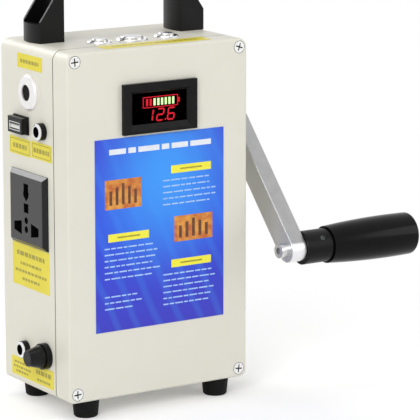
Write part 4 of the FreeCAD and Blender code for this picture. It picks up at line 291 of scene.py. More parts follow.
# colours, gloss and grain of each finish, with sizes and depths in metres
looks = {
    "mouldedIvory": {
        "colour": (0.775, 0.755, 0.655),
        "secondColour": (0.79, 0.77, 0.675),
        "patchSize": 0.03,
        "roughness": (0.38, 0.46),
        "glossSize": 0.004,
        "grainSize": 0.0006,
        "grainStrength": 0.12,
        "grainDepth": 0.0002,
    },
    "seamRubber": {
        "colour": (0.012, 0.011, 0.009),
        "secondColour": (0.02, 0.018, 0.014),
        "patchSize": 0.01,
        "roughness": (0.7, 0.85),
        "glossSize": 0.002,
        "grainSize": 0.0004,
        "grainStrength": 0.3,
        "grainDepth": 0.0001,
    },
    "zincSteel": {
        "colour": (0.62, 0.61, 0.58),
        "secondColour": (0.72, 0.71, 0.69),
        "patchSize": 0.002,
        "roughness": (0.2, 0.36),
        "glossSize": 0.0008,
        "grainSize": 0.0003,
        "grainStrength": 0.15,
        "grainDepth": 0.00005,
        "metallic": 1.0,
    },
    "handlePlastic": {
        "colour": (0.004, 0.004, 0.004),
        "secondColour": (0.006, 0.006, 0.006),
        "patchSize": 0.01,
        "roughness": (0.28, 0.36),
        "glossSize": 0.0015,
        "grainSize": 0.0005,
        "grainStrength": 0.25,
        "grainDepth": 0.0002,
        "specular": 0.18,
    },
    "footRubber": {
        "colour": (0.006, 0.006, 0.006),
        "secondColour": (0.010, 0.010, 0.009),
        "patchSize": 0.004,
        "roughness": (0.55, 0.7),
        "glossSize": 0.001,
        "grainSize": 0.0005,
        "grainStrength": 0.3,
        "grainDepth": 0.0002,
        "specular": 0.1,
    },
    "bezelPlastic": {
        "colour": (0.006, 0.006, 0.006),
        "secondColour": (0.009, 0.009, 0.009),
        "patchSize": 0.006,
        "roughness": (0.3, 0.4),
        "glossSize": 0.001,
        "grainSize": 0.0004,
        "grainStrength": 0.2,
        "grainDepth": 0.0001,
        "specular": 0.12,
    },
    "displayDark": {
        "colour": (0.001, 0.001, 0.001),
        "secondColour": (0.002, 0.001, 0.001),
        "patchSize": 0.004,
        "roughness": (0.5, 0.6),
        "glossSize": 0.002,
        "grainSize": 0.001,
        "grainStrength": 0.05,
        "grainDepth": 0.0001,
        "specular": 0.0,
    },
    "chrome": {
        "colour": (0.78, 0.78, 0.79),
        "secondColour": (0.84, 0.84, 0.85),
        "patchSize": 0.005,
        "roughness": (0.05, 0.12),
        "glossSize": 0.0015,
        "grainSize": 0.001,
        "grainStrength": 0.03,
        "grainDepth": 0.00005,
        "metallic": 1.0,
    },
    "lampRing": {
        "colour": (0.86, 0.84, 0.84),
        "secondColour": (0.90, 0.88, 0.88),
        "patchSize": 0.004,
        "roughness": (0.26, 0.32),
        "glossSize": 0.001,
        "grainSize": 0.0005,
        "grainStrength": 0.03,
        "grainDepth": 0.00005,
        "metallic": 0.5,
    },
    "capSteel": {
        "colour": (0.60, 0.60, 0.61),
        "secondColour": (0.68, 0.68, 0.69),
        "patchSize": 0.0015,
        "roughness": (0.16, 0.24),
        "glossSize": 0.0008,
        "grainSize": 0.0004,
        "grainStrength": 0.1,
        "grainDepth": 0.00004,
        "metallic": 1.0,
    },
    "satinSteel": {
        "colour": (0.62, 0.62, 0.63),
        "secondColour": (0.72, 0.72, 0.73),
        "patchSize": 0.0015,
        "roughness": (0.22, 0.34),
        "glossSize": 0.0006,
        "grainSize": 0.0003,
        "grainStrength": 0.2,
        "grainDepth": 0.00004,
        "metallic": 1.0,
    },
    "glossBlack": {
        "colour": (0.003, 0.003, 0.003),
        "secondColour": (0.005, 0.005, 0.005),
        "patchSize": 0.006,
        "roughness": (0.16, 0.24),
        "glossSize": 0.002,
        "grainSize": 0.0008,
        "grainStrength": 0.05,
        "grainDepth": 0.0001,
        "specular": 0.2,
    },
    "paleTongue": {
        "colour": (0.72, 0.72, 0.68),
        "secondColour": (0.78, 0.78, 0.74),
        "patchSize": 0.002,
        "roughness": (0.4, 0.5),
        "glossSize": 0.001,
        "grainSize": 0.0004,
        "grainStrength": 0.1,
        "grainDepth": 0.0001,
    },
    "goldPin": {
        "colour": (0.70, 0.52, 0.22),
        "secondColour": (0.80, 0.62, 0.30),
        "patchSize": 0.001,
        "roughness": (0.18, 0.3),
        "glossSize": 0.0005,
        "grainSize": 0.0003,
        "grainStrength": 0.1,
        "grainDepth": 0.00004,
        "metallic": 1.0,
    },
    "outletGrey": {
        "colour": (0.004, 0.004, 0.004),
        "secondColour": (0.006, 0.006, 0.006),
        "patchSize": 0.006,
        "roughness": (0.2, 0.28),
        "glossSize": 0.001,
        "grainSize": 0.0004,
        "grainStrength": 0.2,
        "grainDepth": 0.0001,
        "specular": 0.3,
    },
    "armAluminium": {
        "colour": (0.38, 0.38, 0.385),
        "secondColour": (0.41, 0.41, 0.415),
        "patchSize": 0.004,
        "stretch": (1.0, 1.0, 8.0),
        "roughness": (0.36, 0.44),
        "glossSize": 0.0006,
        "grainSize": 0.0002,
        "grainStrength": 0.1,
        "grainDepth": 0.00004,
        "metallic": 1.0,
    },
    "collarBlack": {
        "colour": (0.003, 0.003, 0.003),
        "secondColour": (0.005, 0.005, 0.005),
        "patchSize": 0.004,
        "roughness": (0.3, 0.42),
        "glossSize": 0.001,
        "grainSize": 0.0004,
        "grainStrength": 0.12,
        "grainDepth": 0.0001,
        "specular": 0.14,
    },
    "gripGloss": {
        "colour": (0.002, 0.002, 0.002),
        "secondColour": (0.003, 0.003, 0.003),
        "patchSize": 0.01,
        "roughness": (0.14, 0.2),
        "glossSize": 0.004,
        "grainSize": 0.002,
        "grainStrength": 0.04,
        "grainDepth": 0.0001,
        "specular": 0.12,
    },
    "paleLens": {
        "colour": (0.004, 0.004, 0.0035),
        "secondColour": (0.007, 0.007, 0.006),
        "patchSize": 0.002,
        "roughness": (0.3, 0.4),
        "glossSize": 0.001,
        "grainSize": 0.001,
        "grainStrength": 0.2,
        "grainDepth": 0.0002,
        "specular": 0.04,
    },
    "clearWindow": {
        "colour": (0.93, 0.94, 0.95),
        "secondColour": (0.95, 0.96, 0.97),
        "patchSize": 0.01,
        "roughness": (0.0, 0.01),
        "glossSize": 0.005,
        "grainSize": 0.004,
        "grainStrength": 0.02,
        "grainDepth": 0.0001,
        "clear": 1.0,
        "specular": 0.08,
        "bending": 1.03,
    },
    "stickerYellow": {
        "colour": (0.80, 0.69, 0.055),
        "secondColour": (0.84, 0.73, 0.07),
        "patchSize": 0.01,
        "roughness": (0.3, 0.4),
        "glossSize": 0.003,
        "grainSize": 0.001,
        "grainStrength": 0.05,
        "grainDepth": 0.0001,
        "specular": 0.25,
    },
    "cellWrap": {
        "colour": (0.02, 0.13, 0.33),
        "secondColour": (0.025, 0.15, 0.37),
        "patchSize": 0.01,
        "roughness": (0.25, 0.35),
        "glossSize": 0.003,
        "grainSize": 0.001,
        "grainStrength": 0.1,
        "grainDepth": 0.0001,
    },
    "boardGreen": {
        "colour": (0.004, 0.06, 0.02),
        "secondColour": (0.006, 0.08, 0.028),
        "patchSize": 0.003,
        "roughness": (0.3, 0.45),
        "glossSize": 0.002,
        "grainSize": 0.0006,
        "grainStrength": 0.2,
        "grainDepth": 0.0001,
    },
    "coatedIron": {
        "colour": (0.05, 0.052, 0.056),
        "secondColour": (0.07, 0.072, 0.076),
        "patchSize": 0.003,
        "roughness": (0.35, 0.5),
        "glossSize": 0.001,
        "grainSize": 0.0006,
        "grainStrength": 0.2,
        "grainDepth": 0.0001,
        "metallic": 0.6,
    },
    "bronze": {
        "colour": (0.42, 0.24, 0.09),
        "secondColour": (0.52, 0.31, 0.13),
        "patchSize": 0.001,
        "roughness": (0.35, 0.5),
        "glossSize": 0.0006,
        "grainSize": 0.0003,
        "grainStrength": 0.3,
        "grainDepth": 0.00005,
        "metallic": 1.0,
    },
    "copperWinding": {
        "colour": (0.45, 0.14, 0.05),
        "secondColour": (0.58, 0.2, 0.08),
        "patchSize": 0.0012,
        "roughness": (0.3, 0.45),
        "glossSize": 0.0006,
        "grainSize": 0.0005,
        "grainStrength": 0.5,
        "grainDepth": 0.0002,
        "metallic": 0.8,
    },
    "ferrite": {
        "colour": (0.03, 0.03, 0.031),
        "secondColour": (0.045, 0.045, 0.046),
        "patchSize": 0.0015,
        "roughness": (0.5, 0.65),
        "glossSize": 0.001,
        "grainSize": 0.0005,
        "grainStrength": 0.3,
        "grainDepth": 0.0001,
    },
    "fuseGlass": {
        "colour": (0.80, 0.84, 0.84),
        "secondColour": (0.86, 0.90, 0.90),
        "patchSize": 0.004,
        "roughness": (0.03, 0.08),
        "glossSize": 0.002,
        "grainSize": 0.002,
        "grainStrength": 0.05,
        "grainDepth": 0.0001,
        "clear": 0.8,
    },
    "printPale": {
        **ink,
        "colour": (0.36, 0.56, 0.93),
        "secondColour": (0.44, 0.64, 0.95),
        "specular": 0.3,
    },
    "printWhite": {
        **ink,
        "colour": (0.82, 0.85, 0.92),
        "secondColour": (0.86, 0.89, 0.95),
    },
    "printYellow": {
        **ink,
        "colour": (0.93, 0.87, 0.06),
        "secondColour": (0.96, 0.90, 0.08),
        "patchSize": 0.006,
        "roughness": (0.3, 0.4),
        "specular": 0.25,
    },
    "printOlive": {
        **ink,
        "colour": (0.38, 0.32, 0.045),
        "secondColour": (0.44, 0.37, 0.06),
        "patchSize": 0.003,
        "roughness": (0.3, 0.4),
        "specular": 0.25,
    },
    "printAmber": {
        **ink,
        "colour": (0.55, 0.13, 0.02),
        "secondColour": (0.78, 0.34, 0.05),
    },
    "printBrown": {
        **ink,
        "colour": (0.10, 0.035, 0.012),
        "secondColour": (0.16, 0.05, 0.016),
        "patchSize": 0.003,
    },
    "panelBlue": {
        "colour": (0.045, 0.20, 0.80),
        "secondColour": (0.05, 0.22, 0.84),
        "patchSize": 0.02,
        "roughness": (0.25, 0.35),
        "glossSize": 0.004,
        "grainSize": 0.002,
        "grainStrength": 0.03,
        "grainDepth": 0.0001,
        "specular": 0.3,
    },
}
finishes = {name: finish(name, look) for name, look in looks.items()}


def recolour(name, share, colour):
    # the finish turns into another colour where the share is 1
    tree = finishes[name].node_tree
    base = tree.nodes["Principled BSDF"].inputs["Base Color"]
    mix = newNode(tree, "ShaderNodeMix", data_type="RGBA")
    tree.links.new(share, mix.inputs["Factor"])
    tree.links.new(base.links[0].from_socket, mix.inputs["A"])
    mix.inputs["B"].default_value = (*colour, 1)
    tree.links.new(mix.outputs["Result"], base)


# lit display segments
segmentGlow = {
    "colours": {"segmentRed": (0.66, 0.014, 0.028), "segmentGreen": (0.72, 0.98, 0.45)},
    "strength": 0.95,
    "bodyShare": 0.2,
    "roughness": 0.4,
    "specular": 0.05,
}


def addGlowing(settings):
    for name, colour in settings["colours"].items():
        material = bpy.data.materials.new(name)
        material.use_nodes = True
        shader = material.node_tree.nodes["Principled BSDF"]
        body = [settings["bodyShare"] * part for part in colour]
        shader.inputs["Base Color"].default_value = (*body, 1)
        shader.inputs["Roughness"].default_value = settings["roughness"]
        shader.inputs["Specular IOR Level"].default_value = settings["specular"]
        shader.inputs["Emission Color"].default_value = (*colour, 1)
        shader.inputs["Emission Strength"].default_value = settings["strength"]
        finishes[name] = material


# blue film: a pale glow over a ramp that runs up the sheet, with faint slanting streaks
panelFilm = {
    "heights": (0.050, 0.161),
    "foot": (0.050, 0.050, 0.56),
    "middle": (0.030, 0.080, 0.78),
    "middleAt": 0.55,
    "head": (0.042, 0.052, 0.66),
    "glow": (0.050, 0.34, 1.0),
    "glowCentre": (-0.038, 0.137),  # across and up
    "glowReach": (0.062, 0.072),
    "streakScale": 25.0,
    "streakWaver": 1.5,
    "streakTurn": 24.0,
    "streakStart": 0.55,
    "streakShare": 0.16,
}


def addPanelFilm(settings):
    tree = finishes["panelBlue"].node_tree
    where = objectPlace(tree)
    ground = newNode(tree, "ShaderNodeValToRGB")
    ground.color_ramp.elements[0].color = (*settings["foot"], 1)
    ground.color_ramp.elements[1].color = (*settings["head"], 1)
    ground.color_ramp.elements.new(settings["middleAt"]).color = (*settings["middle"], 1)
    height = mapped(tree, splitUp(tree, where)["Z"], *settings["heights"])
    tree.links.new(height, ground.inputs["Fac"])
    tree.links.new(ground.outputs["Color"], tree.nodes["Principled BSDF"].inputs["Base Color"])

    (centreX, centreZ), (reachX, reachZ) = settings["glowCentre"], settings["glowReach"]
    offset = (-centreX / reachX, 0, -centreZ / reachZ)
    spread = spreadOut(tree, where, Location=offset, Scale=(1 / reachX, 0, 1 / reachZ))
    glow = newNode(tree, "ShaderNodeTexGradient", gradient_type="SPHERICAL")
    tree.links.new(spread, glow.inputs["Vector"])
    soft = mapped(tree, glow.outputs["Fac"], 0.0, 1.0, interpolation_type="SMOOTHSTEP")
    recolour("panelBlue", soft, settings["glow"])

    turned = spreadOut(tree, where, Rotation=(0, math.radians(settings["streakTurn"]), 0))
    streaks = newNode(tree, "ShaderNodeTexWave", bands_direction="X")
    streaks.inputs["Scale"].default_value = settings["streakScale"]
    streaks.inputs["Distortion"].default_value = settings["streakWaver"]
    tree.links.new(turned, streaks.inputs["Vector"])
    faint = mapped(tree, streaks.outputs["Fac"], settings["streakStart"], 1.0, settings["streakShare"])
    recolour("panelBlue", faint, settings["glow"])


# dust in the joint between lid and shell
seamLine = {"back": -22.0, "halfWidth": (0.00035, 0.00022), "colour": (0.16, 0.145, 0.115)}


def addSeamLine(settings):
    tree = finishes["mouldedIvory"].node_tree
    along = splitUp(tree, objectPlace(tree))["Y"]
    away = combine(tree, "ABSOLUTE", combine(tree, "SUBTRACT", along, at(0, settings["back"], 0).y))
    recolour("mouldedIvory", mapped(tree, away, *settings["halfWidth"]), settings["colour"])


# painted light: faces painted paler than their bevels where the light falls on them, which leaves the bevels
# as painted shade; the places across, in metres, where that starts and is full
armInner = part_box("crank_arm")[0][0]
paintedLitFaces = {
    "armAluminium": {"reach": (armInner + 0.0003, armInner + 0.0001), "colour": (0.64, 0.64, 0.64)},
    "outletGrey": {"reach": (at(-62.75, 0, 0).x, at(-62.95, 0, 0).x), "colour": (0.040, 0.040, 0.040)},
}


def addPaintedLitFaces(settings):
    for name, face in settings.items():
        tree = finishes[name].node_tree
        across = splitUp(tree, objectPlace(tree))["X"]
        # painted light on the face that the lamps light, paler than its bevels
        recolour(name, mapped(tree, across, *face["reach"]), face["colour"])


# painted highlight on the round end of the arm: what lies at the rim, past the axis of its screw;
# half the arm's width is 7.5 mm, which lies at 0.5 of the range
paintedRimHighlight = {
    "reachRange": 0.015,
    "rim": (0.490, 0.4925),
    "past": (0.0, 0.12),
    "lean": 42.9,
    "colour": (0.84, 0.84, 0.85),
}


def addPaintedRimHighlight(settings):
    low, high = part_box("spindle_screw")
    centre = (Vector(low) + Vector(high)) / 2
    tree = finishes["armAluminium"].node_tree
    scale = 1 / settings["reachRange"]
    offset = (0, -centre.y * scale, -centre.z * scale)
    spread = spreadOut(tree, objectPlace(tree), Location=offset, Scale=(0, scale, scale))
    lean = math.radians(settings["lean"])
    along = newNode(tree, "ShaderNodeVectorMath", operation="DOT_PRODUCT")
    along.inputs[1].default_value = (0, -math.sin(lean), -math.cos(lean))
    tree.links.new(spread, along.inputs[0])
    rim = mapped(tree, lengthOf(tree, spread), *settings["rim"])
    past = mapped(tree, along.outputs["Value"], *settings["past"])
    # painted highlight: the rim of the round end is lightened where it faces down and forward
    recolour("armAluminium", combine(tree, "MULTIPLY", rim, past), settings["colour"])


addSeamLine(seamLine)
addPaintedLitFaces(paintedLitFaces)
addPaintedRimHighlight(paintedRimHighlight)
addPanelFilm(panelFilm)
addGlowing(segmentGlow)

dressing = {
    "mouldedIvory": ["rear_case", "front_lid"],
    "seamRubber": ["lid_gasket"],
    "zincSteel": ["handle_fasteners", "foot_screws", "panel_nuts", "button_nuts", "gearbox_screws"],
    "handlePlastic": ["carry_handle", "battery_holder", "ac_socket_housing"],
    "footRubber": ["rubber_feet"],
    "bezelPlastic": ["display_bezel"],
    "displayDark": ["display_board"],
    "clearWindow": ["display_window"],
    "lampRing": ["lamp_bezel"],
    "chrome": ["jack_rings", "small_button_barrels", "main_button_barrel"],
    "satinSteel": [
        "left_button_cap", "main_button_cap", "right_button_cap", "crank_shaft", "idler_shaft",
        "rotor_shaft", "generator_bearings", "drive_gear", "idler_gears", "rotor_pinion",
    ],
    "glossBlack": ["usb_housing", "jack_bodies", "fuse_holder_body", "fuse_cap"],
    "paleTongue": ["usb_tongue"],
    "goldPin": ["jack_pins", "ac_contacts"],
    "outletGrey": ["ac_socket_face"],
    "armAluminium": [
        "crank_arm", "gearbox_outer_plate", "gearbox_inner_plate", "gearbox_posts", "heat_sink",
    ],
    "collarBlack": ["grip_collar"],
    "capSteel": ["spindle_screw", "arm_screw"],
    "gripGloss": ["grip_sleeve"],
    "paleLens": ["lamp_lens"],
    "stickerYellow": ["side_labels", "top_label"],
    "cellWrap": ["battery_cells"],
    "boardGreen": ["inverter_board"],
    "coatedIron": ["inverter_transformer", "generator_can", "generator_end_cap"],
    "bronze": ["shaft_bushings"],
    "copperWinding": ["stator_coils"],
    "ferrite": ["rotor_magnet"],
    "fuseGlass": ["fuse_link"],
    "panelBlue": ["front_label"],
}
for finishName, nodeNames in dressing.items():
    for nodeName in nodeNames:
        for slot in nodes[nodeName].material_slots:
            slot.material = finishes[finishName]
undressed = set(nodes) - {"lid_screws"} - {name for group in dressing.values() for name in group}
print("finishes on", len(nodes) - len(undressed), "nodes, still plain:", sorted(undressed))


# tools for the pieces that are modelled here
facing = 0.9
doublesReach = 1e-6


def takeUp(piece):
    bpy.ops.object.select_all(action="DESELECT")
    piece.select_set(True)
    bpy.context.view_layer.objects.active = piece


def pickFaces(piece, fits):
    # in edit mode: select the faces whose direction along z fits
    bpy.ops.mesh.select_all(action="DESELECT")
    shape = bmesh.from_edit_mesh(piece.data)
    for face in shape.faces:
        face.select_set(fits(face.normal.z))
    bmesh.update_edit_mesh(piece.data)


def settleOrder(piece):
    # in edit mode: extruding leaves the faces in an order that changes from run to run
    faces = bmesh.from_edit_mesh(piece.data).faces
    ranked = sorted(faces, key=lambda face: [round(value, 4) for value in face.calc_center_median()])
    for rank, face in enumerate(ranked):
        face.index = rank
    faces.sort()
    bmesh.update_edit_mesh(piece.data)


def roundedBar(name, length, height, thickness, corner, steps=3):
    # a flat bar, in millimetres, with its four upright edges rounded
    bpy.ops.object.select_all(action="DESELECT")
    bpy.ops.mesh.primitive_cube_add(size=1, location=(0, 0, 0))
    bar = bpy.context.object
    bar.name = name
    bpy.ops.object.mode_set(mode="EDIT")
    bpy.ops.transform.resize(value=(length, height, thickness))
    bpy.ops.mesh.select_mode(type="EDGE")
    shape = bmesh.from_edit_mesh(bar.data)
    for edge in shape.edges:
        upright = abs(edge.verts[0].co.z - edge.verts[1].co.z) > thickness / 2
        edge.select_set(upright)
    bmesh.update_edit_mesh(bar.data)
    bpy.ops.mesh.bevel(offset=corner, segments=steps)
    bpy.ops.object.mode_set(mode="OBJECT")
    return bar


def stamp(bar, name, place, marks):
    # a copy of the bar for each mark, drawn out between its rounded ends, all joined;
    # a mark is: middle across, middle up, length, height, turn in degrees, slant
    length = 2 * max(vertex.co.x for vertex in bar.data.vertices)
    height = 2 * max(vertex.co.y for vertex in bar.data.vertices)
    copies = []
    for mark in marks:
        across, up, markLength, markHeight, turn, slant = (list(mark) + [0.0, 0.0])[:6]
        copy = bar.copy()
        copy.data = bar.data.copy()
        bpy.context.collection.objects.link(copy)
        cosine, sine = math.cos(math.radians(turn)), math.sin(math.radians(turn))
        for vertex in copy.data.vertices:
            x, y, z = vertex.co
            x += (markLength - length) / 2 * math.copysign(1, x)
            y += (markHeight - height) / 2 * math.copysign(1, y)
            x, y = x * cosine - y * sine, x * sine + y * cosine
            vertex.co = place(across + x + slant * y, up + y, z)
        copies.append(copy)
    bpy.ops.object.select_all(action="DESELECT")
    for copy in copies:
        copy.select_set(True)
    bpy.context.view_layer.objects.active = copies[0]
    bpy.ops.object.join()
    piece = bpy.context.object
    piece.name = name
    bpy.data.objects.remove(bar)
    return piece


def dress(piece, finishName, body="case"):
    piece.data.materials.clear()
    piece.data.materials.append(finishes[finishName])
    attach(piece, body)


def tidyMesh(piece):
    takeUp(piece)
    bpy.ops.object.mode_set(mode="EDIT")
    bpy.ops.mesh.select_all(action="SELECT")
    bpy.ops.mesh.remove_doubles(threshold=doublesReach)
    bpy.ops.mesh.normals_make_consistent(inside=False)
    bpy.ops.object.mode_set(mode="OBJECT")


# lid screws with their cross recess, zinc plated, with painted shade in the recess and at the rim of the
# head
screwLook = {
    # across, up, turn of the cross
    "places": [(-54.6, 15.7, 2.0), (54.6, 15.7, -7.0), (-54.6, 206.3, 4.0), (54.6, 206.3, -18.0)],
    "arm": (4.7, 0.8),
    "armCorner": 0.2,
    "depth": 1.7,
    "headFace": -37.5,
    "rim": (3.3, 3.45),
    "paintedShadeDepth": (-37.45, -37.0),
    "paintedShadeColour": (0.03, 0.03, 0.027),
    "plate": {"colour": (0.86, 0.86, 0.85), "secondColour": (0.92, 0.92, 0.91), "metallic": 0.6},
}


def addScrewHeadFinish(settings):
    finishes["screwHead"] = finish("screwHead", {**looks["zincSteel"], **settings["plate"]})
    tree = finishes["screwHead"].node_tree
    lowUp, highUp = settings["places"][0][1], settings["places"][2][1]
    middle = at(0, 0, (lowUp + highUp) / 2)
    reaches = {"X": settings["places"][1][0] / 1000, "Z": (highUp - lowUp) / 2000}
    split = splitUp(tree, spreadOut(tree, objectPlace(tree), Location=-middle))
    squares = []
    for axis, reach in reaches.items():
        off = combine(tree, "SUBTRACT", combine(tree, "ABSOLUTE", split[axis]), reach)
        squares.append(combine(tree, "MULTIPLY", off, off))
    total = combine(tree, "ADD", *squares)
    rim = mapped(tree, total, *[(reach / 1000) ** 2 for reach in settings["rim"]])
    deep = mapped(tree, split["Y"], *[place / 1000 for place in settings["paintedShadeDepth"]])
    # painted shade: darker at the rim of each head and deep in the cross recess
    recolour("screwHead", combine(tree, "MAXIMUM", rim, deep), settings["paintedShadeColour"])


def addLidScrews(settings):
    source = nodes["lid_screws"]
    piece = source.copy()
    piece.data = source.data.copy()
    piece.name = "crossLidScrews"
    bpy.context.collection.objects.link(piece)
    tidyMesh(piece)

    def onHead(across, up, out):
        return at(across, settings["headFace"] - out, up)

    for quarter in (0, 90):
        bar = roundedBar("crossCutter", *settings["arm"], 2 * settings["depth"], settings["armCorner"])
        marks = [(x, z, *settings["arm"], turn + quarter) for x, z, turn in settings["places"]]
        cutter = stamp(bar, "crossCutter", onHead, marks)
        tidyMesh(cutter)
        takeUp(piece)
        bpy.ops.object.modifier_add(type="BOOLEAN")
        recess = piece.modifiers[-1]
        recess.operation = "DIFFERENCE"
        recess.solver = "EXACT"
        recess.object = cutter
        bpy.ops.object.modifier_apply(modifier=recess.name)
        bpy.data.objects.remove(cutter)
    dress(piece, "screwHead")
    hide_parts("lid_screws")


addScrewHeadFinish(screwLook)
addLidScrews(screwLook)
print("lid screws cut")


# lit segments of the voltmeter, on the board behind the window
displayLook = {
    "face": -36.8,
    "thickness": 0.12,
    "digitMiddles": [(-5.7, "1"), (1.45, "2"), (8.65, "6")],
    "digitHeight": 6.6,
    "digitWidth": 4.2,
    "digitUp": 171.95,
    "pointPlace": (4.75, 168.9),
    "pointSize": 1.0,
    "strokeWidth": 0.95,
    "strokeLength": 3.0,
    "strokeCorner": 0.4,
    "strokeGap": 0.25,
    "slant": 0.15,
    "frame": (-9.9, 13.0, 176.5, 182.4),
    "frameWidth": 0.5,
    "knob": (0.8, 1.3, 2.7),  # out from the frame, length, height
    "barStarts": (-8.1, -5.65, -3.1, -0.6, 1.9, 4.35, 6.8, 9.3),
    "barSize": (1.5, 4.1),
    "cellSize": 1.5,
    "cellCorner": 0.12,
    "redBars": 2,
}
segmentsOf = {"1": "bc", "2": "abged", "6": "afgecd"}


def onDisplay(across, up, out):
    return at(across, displayLook["face"] - out, up)


def addDisplay(settings):
    height, width, gap = settings["digitHeight"], settings["digitWidth"], settings["strokeGap"]
    stroke, slant, thickness = settings["strokeWidth"], settings["slant"], settings["thickness"]
    flat, tall = width - gap, height / 2 - gap
    spots = {  # across, up and turn of the seven segments
        "a": (0, height / 2, 0), "g": (0, 0, 0), "d": (0, -height / 2, 0),
        "f": (-width / 2, height / 4, 90), "b": (width / 2, height / 4, 90),
        "e": (-width / 2, -height / 4, 90), "c": (width / 2, -height / 4, 90),
    }
    marks = []
    for middle, digit in settings["digitMiddles"]:
        for letter in segmentsOf[digit]:
            across, up, turn = spots[letter]
            long = flat if turn == 0 else tall
            marks.append((middle + across + slant * up, settings["digitUp"] + up, long, stroke, turn, slant))
    marks.append((*settings["pointPlace"], settings["pointSize"], settings["pointSize"], 0, slant))
    segment = roundedBar("segment", settings["strokeLength"], stroke, thickness, settings["strokeCorner"], 1)
    dress(stamp(segment, "displayDigits", onDisplay, marks), "segmentRed")

    left, right, low, high = settings["frame"]
    middleUp, line = (low + high) / 2, settings["frameWidth"]
    knobOut, knobLength, knobHeight = settings["knob"]
    outline = [
        ((left + right) / 2, low, right - left, line),
        ((left + right) / 2, high, right - left, line),
        (left, middleUp, line, high - low),
        (right, middleUp, line, high - low),
        (right + knobOut, middleUp, knobLength, knobHeight),
    ]
    barLength, barHeight = settings["barSize"]
    bars = [(start + barLength / 2, middleUp, barLength, barHeight) for start in settings["barStarts"]]
    redBars, greenBars = bars[: settings["redBars"]], bars[settings["redBars"] :]
    size, corner = settings["cellSize"], settings["cellCorner"]
    for name, finishName, marks in (
        ("displayBatteryOutline", "segmentRed", outline + redBars),
        ("displayBatteryBars", "segmentGreen", greenBars),
    ):
        cell = roundedBar("cell", size, size, thickness, corner, 2)
        dress(stamp(cell, name, onDisplay, marks), finishName)


addDisplay(displayLook)
print("display segments laid")


# what is printed: bars and dashes, no words
printLook = {
    "thickness": 0.06,
    "overprint": 1.6,  # how much thicker a mark is that lies on another
    "length": 2.0,
    "height": 0.6,
    "corner": 0.15,
}


def layPrint(name, place, marks, finishName, layers=1):
    thickness = printLook["thickness"] * layers
    bar = roundedBar("printBar", printLook["length"], printLook["height"], thickness, printLook["corner"], 2)
    dress(stamp(bar, name, place, marks), finishName)


# printing on the front panel
panelPrint = {
    "face": -37.75,
    "headUp": 153.4,
    "headDashes": [(-33.0, 11.0), (-20.4, 5.0), (-13.8, 14.0), (1.8, 5.0), (8.4, 11.0), (21.0, 14.0)],
    "headHeight": 3.1,
    "yellowBars": [(21.5, 139.5, 27.0), (-20.5, 104.0, 27.0), (21.5, 84.5, 27.0)],
    "yellowHeight": 4.6,
    "ruleShare": 0.55,
    "ruleHeight": 0.9,
    "lineHeight": 0.8,
    "lineBlocks": [
        # from, to, first line up, lines, step
        (2.5, 38.5, 133.5, 5, 3.5),
        (-36.5, 2.0, 98.0, 6, 3.5),
        (2.5, 38.5, 78.5, 6, 3.5),
        (-36.5, -8.0, 70.0, 3, 3.5),
    ],
    "raggedEdge": 9,
    "dashLengths": (2.2, 6.5),
    "dashGap": 0.8,
    "leastDash": 1.5,
    "tiles": [(-24.0, 129.0, 24.0, 17.0), (23.0, 104.5, 26.0, 15.0)],
    # upright bars in a tile, as shares of its width and height
    "tileBars": {"steps": (-2, -1, 0, 1, 2), "step": 0.17, "width": 0.075, "height": 0.72},
    "tileBarDrop": 0.06,
    "tileBarFall": 0.12,
    "seed": 11,
}


def onPanel(across, up, out):
    return at(across, panelPrint["face"] - out, up)


def dashLines(settings):
    chance = random.Random(settings["seed"])
    marks = []
    for start, end, up, count, step in settings["lineBlocks"]:
        for row in range(count):
            across = start
            reach = end - chance.uniform(0, settings["raggedEdge"])
            while across < reach - settings["leastDash"]:
                length = min(chance.uniform(*settings["dashLengths"]), reach - across)
                marks.append((across + length / 2, up - row * step, length, settings["lineHeight"]))
                across += length + settings["dashGap"]
    return marks


def tileMarks(settings):
    # the bars get shorter and sit lower towards the sides of their tile
    bars = settings["tileBars"]
    marks = []
    for across, up, length, high in settings["tiles"]:
        for step in bars["steps"]:
            middle = across + step * length * bars["step"]
            middleUp = up - high * settings["tileBarDrop"] * abs(step)
            tall = high * (bars["height"] - settings["tileBarFall"] * abs(step))
            marks.append((middle, middleUp, length * bars["width"], tall))
    return marks


def addPanelPrint(settings):
    film, over = "panel_film", printLook["overprint"]
    headUp, headHeight = settings["headUp"], settings["headHeight"]
    dashes = [(start + length / 2, headUp, length, headHeight) for start, length in settings["headDashes"]]
    layPrint("panelHeadDashes", onPanel, dashes, "printWhite")
    layPrint("panelPaleMarks", onPanel, dashLines(settings), "printPale")
    yellowBars = settings["yellowBars"]
    bars = [(across, up, length, settings["yellowHeight"]) for across, up, length in yellowBars]
    layPrint("panelYellowBars", onPanel, bars, "printYellow")
    share, ruleHeight = settings["ruleShare"], settings["ruleHeight"]
    rules = [(across, up, share * length, ruleHeight) for across, up, length in yellowBars]
    layPrint("panelBarRules", onPanel, rules, "printOlive", over)
    layPrint("panelTiles", onPanel, settings["tiles"], "printAmber")
    layPrint("panelTileBars", onPanel, tileMarks(settings), "printBrown", over)


addPanelPrint(panelPrint)
print("front panel printed")


